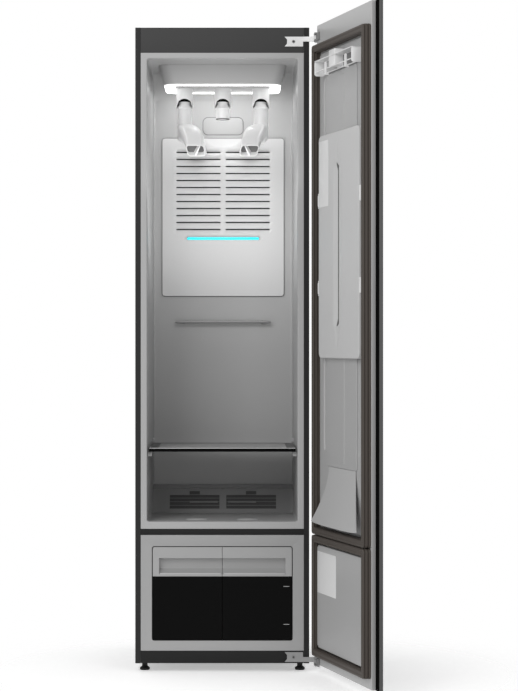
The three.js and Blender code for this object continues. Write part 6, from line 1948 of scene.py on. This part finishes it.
@dataclass
class Studio:
    """Camera, floor, lamps and world."""

    datum: Datum
    focal_pixels: float = 2190.0
    frame_height: float = 691.0
    camera: Point = (36.6, -6290.0, 947.0)
    shift_pixels: Span = (24.0, -3.5)
    film: float = 36.0
    view_end: float = 50.0
    floor_radius: float = 1.0
    fade_from: float = 0.2
    floor_tone: Span = (0.97, 0.99)
    floor_glow: float = 0.3
    world_light: float = 0.66
    world_seen: float = 1.0
    lamps: tuple[Lamp, ...] = (
        Lamp("Key", (-1.6, -3.2, 2.8), (0.0, 0.0, 1.1), (1.6, 2.2), 46.0),
        Lamp("Fill", (2.2, -3.4, 1.6), (0.0, 0.0, 0.9), (1.6, 2.2), 16.0),
        Lamp("Ceiling glow", (0.0, 300.0, 1692.0), (0.0, 430.0, 1440.0), (0.36, 0.05), 0.4, True),
        Lamp("Chamber glow", (0.0, 30.0, 1300.0), (0.0, 430.0, 1520.0), (0.36, 0.3), 0.8, True),
    )

    def place_camera(self) -> None:
        """Stands the camera where the photograph was taken from, level and square to the front."""
        data = bpy.data.cameras.new("Camera")
        data.sensor_fit = "VERTICAL"
        data.sensor_height = self.film
        data.lens = self.film * self.focal_pixels / self.frame_height
        data.shift_x, data.shift_y = (pixels / self.frame_height for pixels in self.shift_pixels)
        data.clip_end = self.view_end
        camera = bpy.data.objects.new("Camera", data)
        camera.location = self.datum.cabinet(np.array(self.camera)).tolist()
        camera.rotation_euler = (math.radians(90.0), 0.0, 0.0)
        bpy.context.scene.collection.objects.link(camera)
        bpy.context.scene.camera = camera

    def hang(self, lamp: Lamp) -> None:
        """Hangs one lamp and turns it to its aim.

        Args:
            lamp: the lamp.
        """
        place, aim = np.array(lamp.place), np.array(lamp.aim)
        if lamp.inside:
            place, aim = self.datum.cabinet(place), self.datum.cabinet(aim)
        data = bpy.data.lights.new(lamp.name, "AREA")
        data.shape = "RECTANGLE"
        data.size, data.size_y = lamp.size
        data.energy = lamp.watts
        light = bpy.data.objects.new(lamp.name, data)
        light.location = place.tolist()
        x, y, z = (aim - place).tolist()
        light.rotation_euler = (math.atan2(math.hypot(x, y), -z), 0.0, math.atan2(y, x) - QUARTER)
        bpy.context.scene.collection.objects.link(light)

    def world(self) -> None:
        """Lights the scene evenly, and shows white to the camera, to mirrors and through glass."""
        world = bpy.data.worlds.new("Studio")
        bpy.context.scene.world = world
        world.use_nodes = True
        graph = Graph(world.node_tree)
        path = graph.add("LightPath", {}).outputs
        seen_by = path["Is Camera Ray"]
        for other in ("Is Glossy Ray", "Is Transmission Ray"):
            seen_by = graph.math("MAXIMUM", seen_by, path[other])
        mix = graph.add("Mix", {"Factor": seen_by, 2: self.world_light, 3: self.world_seen}, data_type="FLOAT")
        graph.fill(world.node_tree.nodes["Background"], {"Strength": mix.outputs[0], "Color": linear(1.0)})

    def floor(self) -> None:
        """Lays a pale round floor whose rim fades out, so that it has no visible edge."""
        mesh = bpy.data.meshes.new("Floor")
        angle = circle(96)
        ring = np.stack([self.floor_radius * np.cos(angle), self.floor_radius * np.sin(angle), 0.0 * angle], axis=-1)
        mesh.from_pydata(ring.tolist(), [], [tuple(range(len(ring)))])
        floor = bpy.data.objects.new("Floor", mesh)
        bpy.context.scene.collection.objects.link(floor)
        paper = bpy.data.materials.new("Pale floor")
        paper.use_nodes = True
        graph, shader = Graph(paper.node_tree), paper.node_tree.nodes["Principled BSDF"]
        place = graph.add("TexCoord", {}).outputs["Object"]
        noise = graph.add("TexNoise", {"Vector": place, "Scale": 4.0}).outputs["Fac"]
        low, high = self.floor_tone
        tone = graph.add("MapRange", {"Value": noise, "To Min": low, "To Max": high})
        reach = graph.add("VectorMath", {0: place}, operation="LENGTH").outputs["Value"]
        fade = graph.add("MapRange", {
            "Value": reach, "From Min": self.fade_from, "From Max": self.floor_radius, "To Min": 1.0, "To Max": 0.0,
        }, interpolation_type="SMOOTHSTEP")
        graph.fill(shader, {
            "Base Color": tone.outputs["Result"], "Alpha": fade.outputs["Result"], "Emission Color": linear(1.0),
            "Emission Strength": self.floor_glow, "Roughness": 0.9, "Specular IOR Level": 0.1,
        })
        mesh.materials.append(paper)

    def build(self) -> None:
        """Sets up the studio."""
        bpy.context.scene.view_settings.view_transform = "Standard"
        self.place_camera()
        self.floor()
        self.world()
        for lamp in self.lamps:
            self.hang(lamp)


def main() -> None:
    """Builds the cabinet piece by piece."""
    logging.basicConfig(level=logging.INFO, format="%(message)s")
    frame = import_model()
    low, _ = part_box("left_side_panel")
    datum = Datum(middle=low.x + 0.250, front=low.y)
    Studio(datum).build()
    maker = Maker(datum, frame["nodes"])
    for part in (Casing(), Chamber(), Ceiling(), BackWall(), Lower(), Door(), Hardware()):
        part.build(maker)
    bpy.context.view_layer.update()
    log.info("%d pieces", maker.made)


if __name__ == "__main__":
    main()
